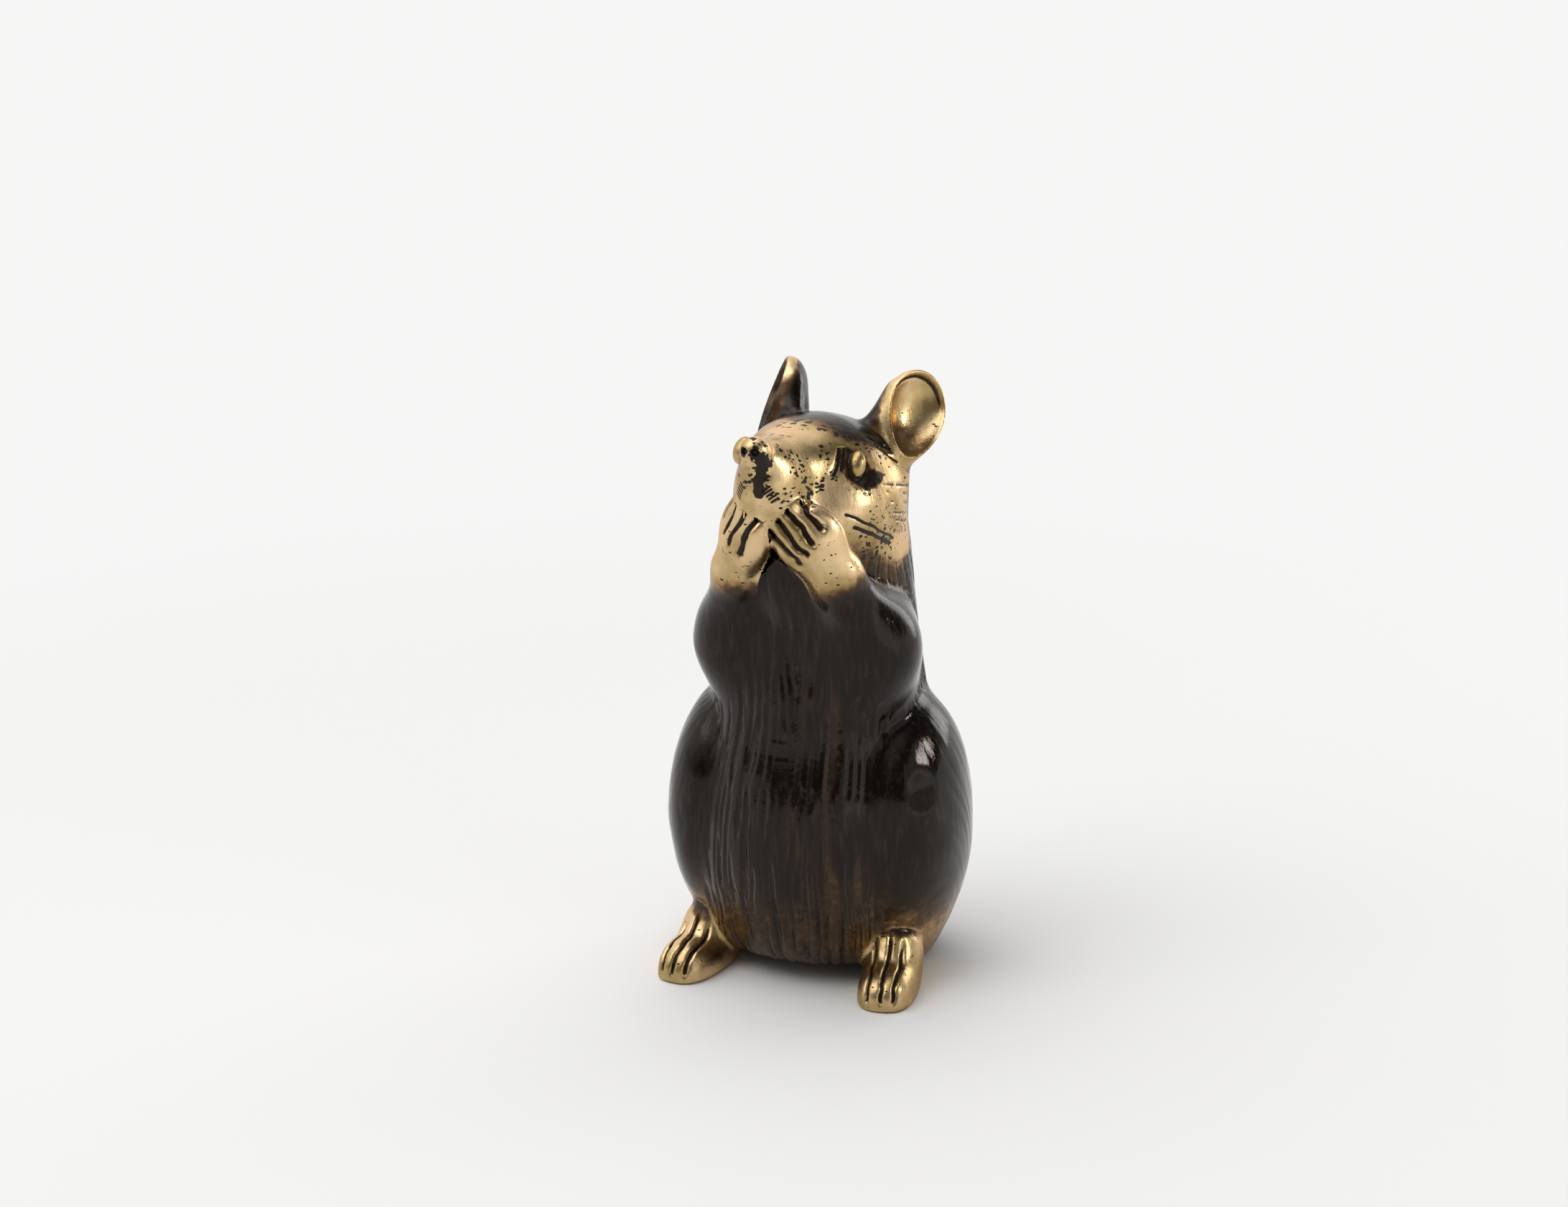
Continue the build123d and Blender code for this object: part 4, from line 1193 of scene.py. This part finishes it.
# %% Floor
FLOOR_REACH = 4.0
FLOOR_COLOUR = (0.905, 0.90, 0.89)
FLOOR_SEEN = (0.92, 0.92, 0.915)
floor_mesh = bpy.data.meshes.new("floor")
floor_mesh.from_pydata(
    [(x * FLOOR_REACH, y * FLOOR_REACH, cad_low[2]) for x, y in ((-1, -1), (1, -1), (1, 1), (-1, 1))],
    [], [(0, 1, 2, 3)])
floor = bpy.data.objects.new("floor", floor_mesh)
bpy.context.scene.collection.objects.link(floor)
paper = bpy.data.materials.new("pale floor")
paper.use_nodes = True
paper.node_tree.nodes["Principled BSDF"].inputs["Base Color"].default_value = (*FLOOR_COLOUR, 1.0)
paper.node_tree.nodes["Principled BSDF"].inputs["Roughness"].default_value = 0.8
paper.node_tree.nodes["Principled BSDF"].inputs["Specular IOR Level"].default_value = 0.1
floor_mesh.materials.append(paper)


def seen_ray(tree):
    """1 for what the lens sees, directly, in metal or through glass, and 0 for light on its way."""
    path = tree.nodes.new("ShaderNodeLightPath")
    seen = math_node(tree, "MAXIMUM", path.outputs["Is Camera Ray"], path.outputs["Is Glossy Ray"])
    return math_node(tree, "MAXIMUM", seen, path.outputs["Is Transmission Ray"])


def fade_to_paper(material):
    """Far from the object the floor shows one plain tone, seen directly, in metal or through glass."""
    tree = material.node_tree
    place = tree.nodes.new("ShaderNodeTexCoord").outputs["Object"]
    reach = tree.nodes.new("ShaderNodeVectorMath")
    reach.operation = "LENGTH"
    tree.links.new(place, reach.inputs[0])
    far = step_node(tree, reach.outputs["Value"], 60.0 * MM, 260.0 * MM)
    glow = tree.nodes.new("ShaderNodeEmission")
    glow.inputs["Color"].default_value = (*FLOOR_SEEN, 1.0)
    blend = tree.nodes.new("ShaderNodeMixShader")
    tree.links.new(math_node(tree, "MULTIPLY", seen_ray(tree), far), blend.inputs["Fac"])
    tree.links.new(tree.nodes["Principled BSDF"].outputs["BSDF"], blend.inputs[1])
    tree.links.new(glow.outputs["Emission"], blend.inputs[2])
    tree.links.new(blend.outputs["Shader"], tree.nodes["Material Output"].inputs["Surface"])


fade_to_paper(paper)

# %% World and lamps
VIEW_TURN = math.radians(20.0)
VIEW_RISE = math.radians(16.2)
right = np.array([math.cos(VIEW_TURN), math.sin(VIEW_TURN), 0.0])
towards = np.array([math.sin(VIEW_TURN) * math.cos(VIEW_RISE), -math.cos(VIEW_TURN) * math.cos(VIEW_RISE),
                    math.sin(VIEW_RISE)])
above = np.cross(towards, right)

world = bpy.data.worlds.new("light tent")
bpy.context.scene.world = world
world.use_nodes = True
tree = world.node_tree
background = tree.nodes["Background"]
direction = tree.nodes.new("ShaderNodeTexCoord").outputs["Generated"]


def brightness_towards(way, low, high):
    """0 to 1 by how far a direction of the world leans towards a given one."""
    lean = tree.nodes.new("ShaderNodeVectorMath")
    lean.operation = "DOT_PRODUCT"
    tree.links.new(direction, lean.inputs[0])
    lean.inputs[1].default_value = tuple(way / np.linalg.norm(way))
    return step_node(tree, lean.outputs["Value"], low, high)


skylight = brightness_towards(-0.45 * right - 0.25 * towards + np.array([0.0, 0.0, 0.85]), 0.35, 0.90)
backdrop = brightness_towards(-towards, 0.10, 0.80)
HORIZON_LOW = 0.09
HORIZON_HIGH = 0.16
TENT_DIM = (0.14, 0.138, 0.136)
TENT_BRIGHT = (1.2, 1.2, 1.205)
tent = mix_node(tree, math_node(tree, "MAXIMUM", skylight, backdrop), TENT_DIM, TENT_BRIGHT)
height = tree.nodes.new("ShaderNodeSeparateXYZ")
tree.links.new(direction, height.inputs["Vector"])
horizon = step_node(tree, height.outputs["Z"], HORIZON_LOW, HORIZON_HIGH, 1.0, 0.0)
tent = mix_node(tree, math_node(tree, "MULTIPLY", seen_ray(tree), horizon), tent, FLOOR_SEEN)
tree.links.new(tent, background.inputs["Color"])
background.inputs["Strength"].default_value = 1.0


def softbox(name, place, aim, size, watts, colour=(1.0, 1.0, 1.0)):
    """A square area lamp at a place in millimetres, aimed at a point."""
    lamp = bpy.data.lights.new(name, "AREA")
    lamp.energy = watts
    lamp.size = size * MM
    lamp.color = colour
    thing = bpy.data.objects.new(name, lamp)
    back = np.subtract(place, aim)
    back = back / np.linalg.norm(back)
    side = np.cross((0.0, 0.0, 1.0), back)
    side = side / np.linalg.norm(side)
    pose = Matrix.Identity(4)
    for row in range(3):
        pose[row][0], pose[row][1], pose[row][2] = side[row], np.cross(back, side)[row], back[row]
        pose[row][3] = place[row] * MM
    thing.matrix_world = pose
    bpy.context.scene.collection.objects.link(thing)
    return thing


MOUSE_MIDDLE = np.array([0.0, 0.0, 40.0])
softbox("key", MOUSE_MIDDLE - 230 * right + 200 * towards + 280 * above, MOUSE_MIDDLE, 260, 0.32)
window = softbox("window", MOUSE_MIDDLE + 355 * right + 110 * towards + 125 * above, MOUSE_MIDDLE, 66, 0.28)
window.visible_diffuse = False
softbox("fill", MOUSE_MIDDLE + 300 * right + 260 * towards + 60 * above, MOUSE_MIDDLE, 320, 0.16)
softbox("rim", MOUSE_MIDDLE + 320 * right - 220 * towards + 160 * above, MOUSE_MIDDLE, 160, 0.20)
softbox("top light", MOUSE_MIDDLE + (-60, 60, 420), MOUSE_MIDDLE, 240, 0.26)

# %% Camera
LENS = 75.6
SENSOR = 36.0
CAMERA_DISTANCE = 439.0
AIM_RIGHT = -4.9
AIM_UP = 49.6
lens = bpy.data.cameras.new("photographer")
lens.lens = LENS
lens.sensor_width = SENSOR
lens.clip_start = 0.01
camera = bpy.data.objects.new("photographer", lens)
stand = right * AIM_RIGHT + np.array([0.0, 0.0, AIM_UP]) + towards * CAMERA_DISTANCE
pose = Matrix.Identity(4)
for row in range(3):
    pose[row][0], pose[row][1], pose[row][2], pose[row][3] = right[row], above[row], towards[row], stand[row] * MM
camera.matrix_world = pose
bpy.context.scene.collection.objects.link(camera)
bpy.context.scene.camera = camera
bpy.context.scene.view_settings.view_transform = "Standard"
print("camera at", (stand * MM).round(4))

# %% [markdown]
# ## Finish
# The view layer is brought up to date. The dressed mouse has to keep inside the frame's own box.

# %% Finish
bpy.context.view_layer.update()
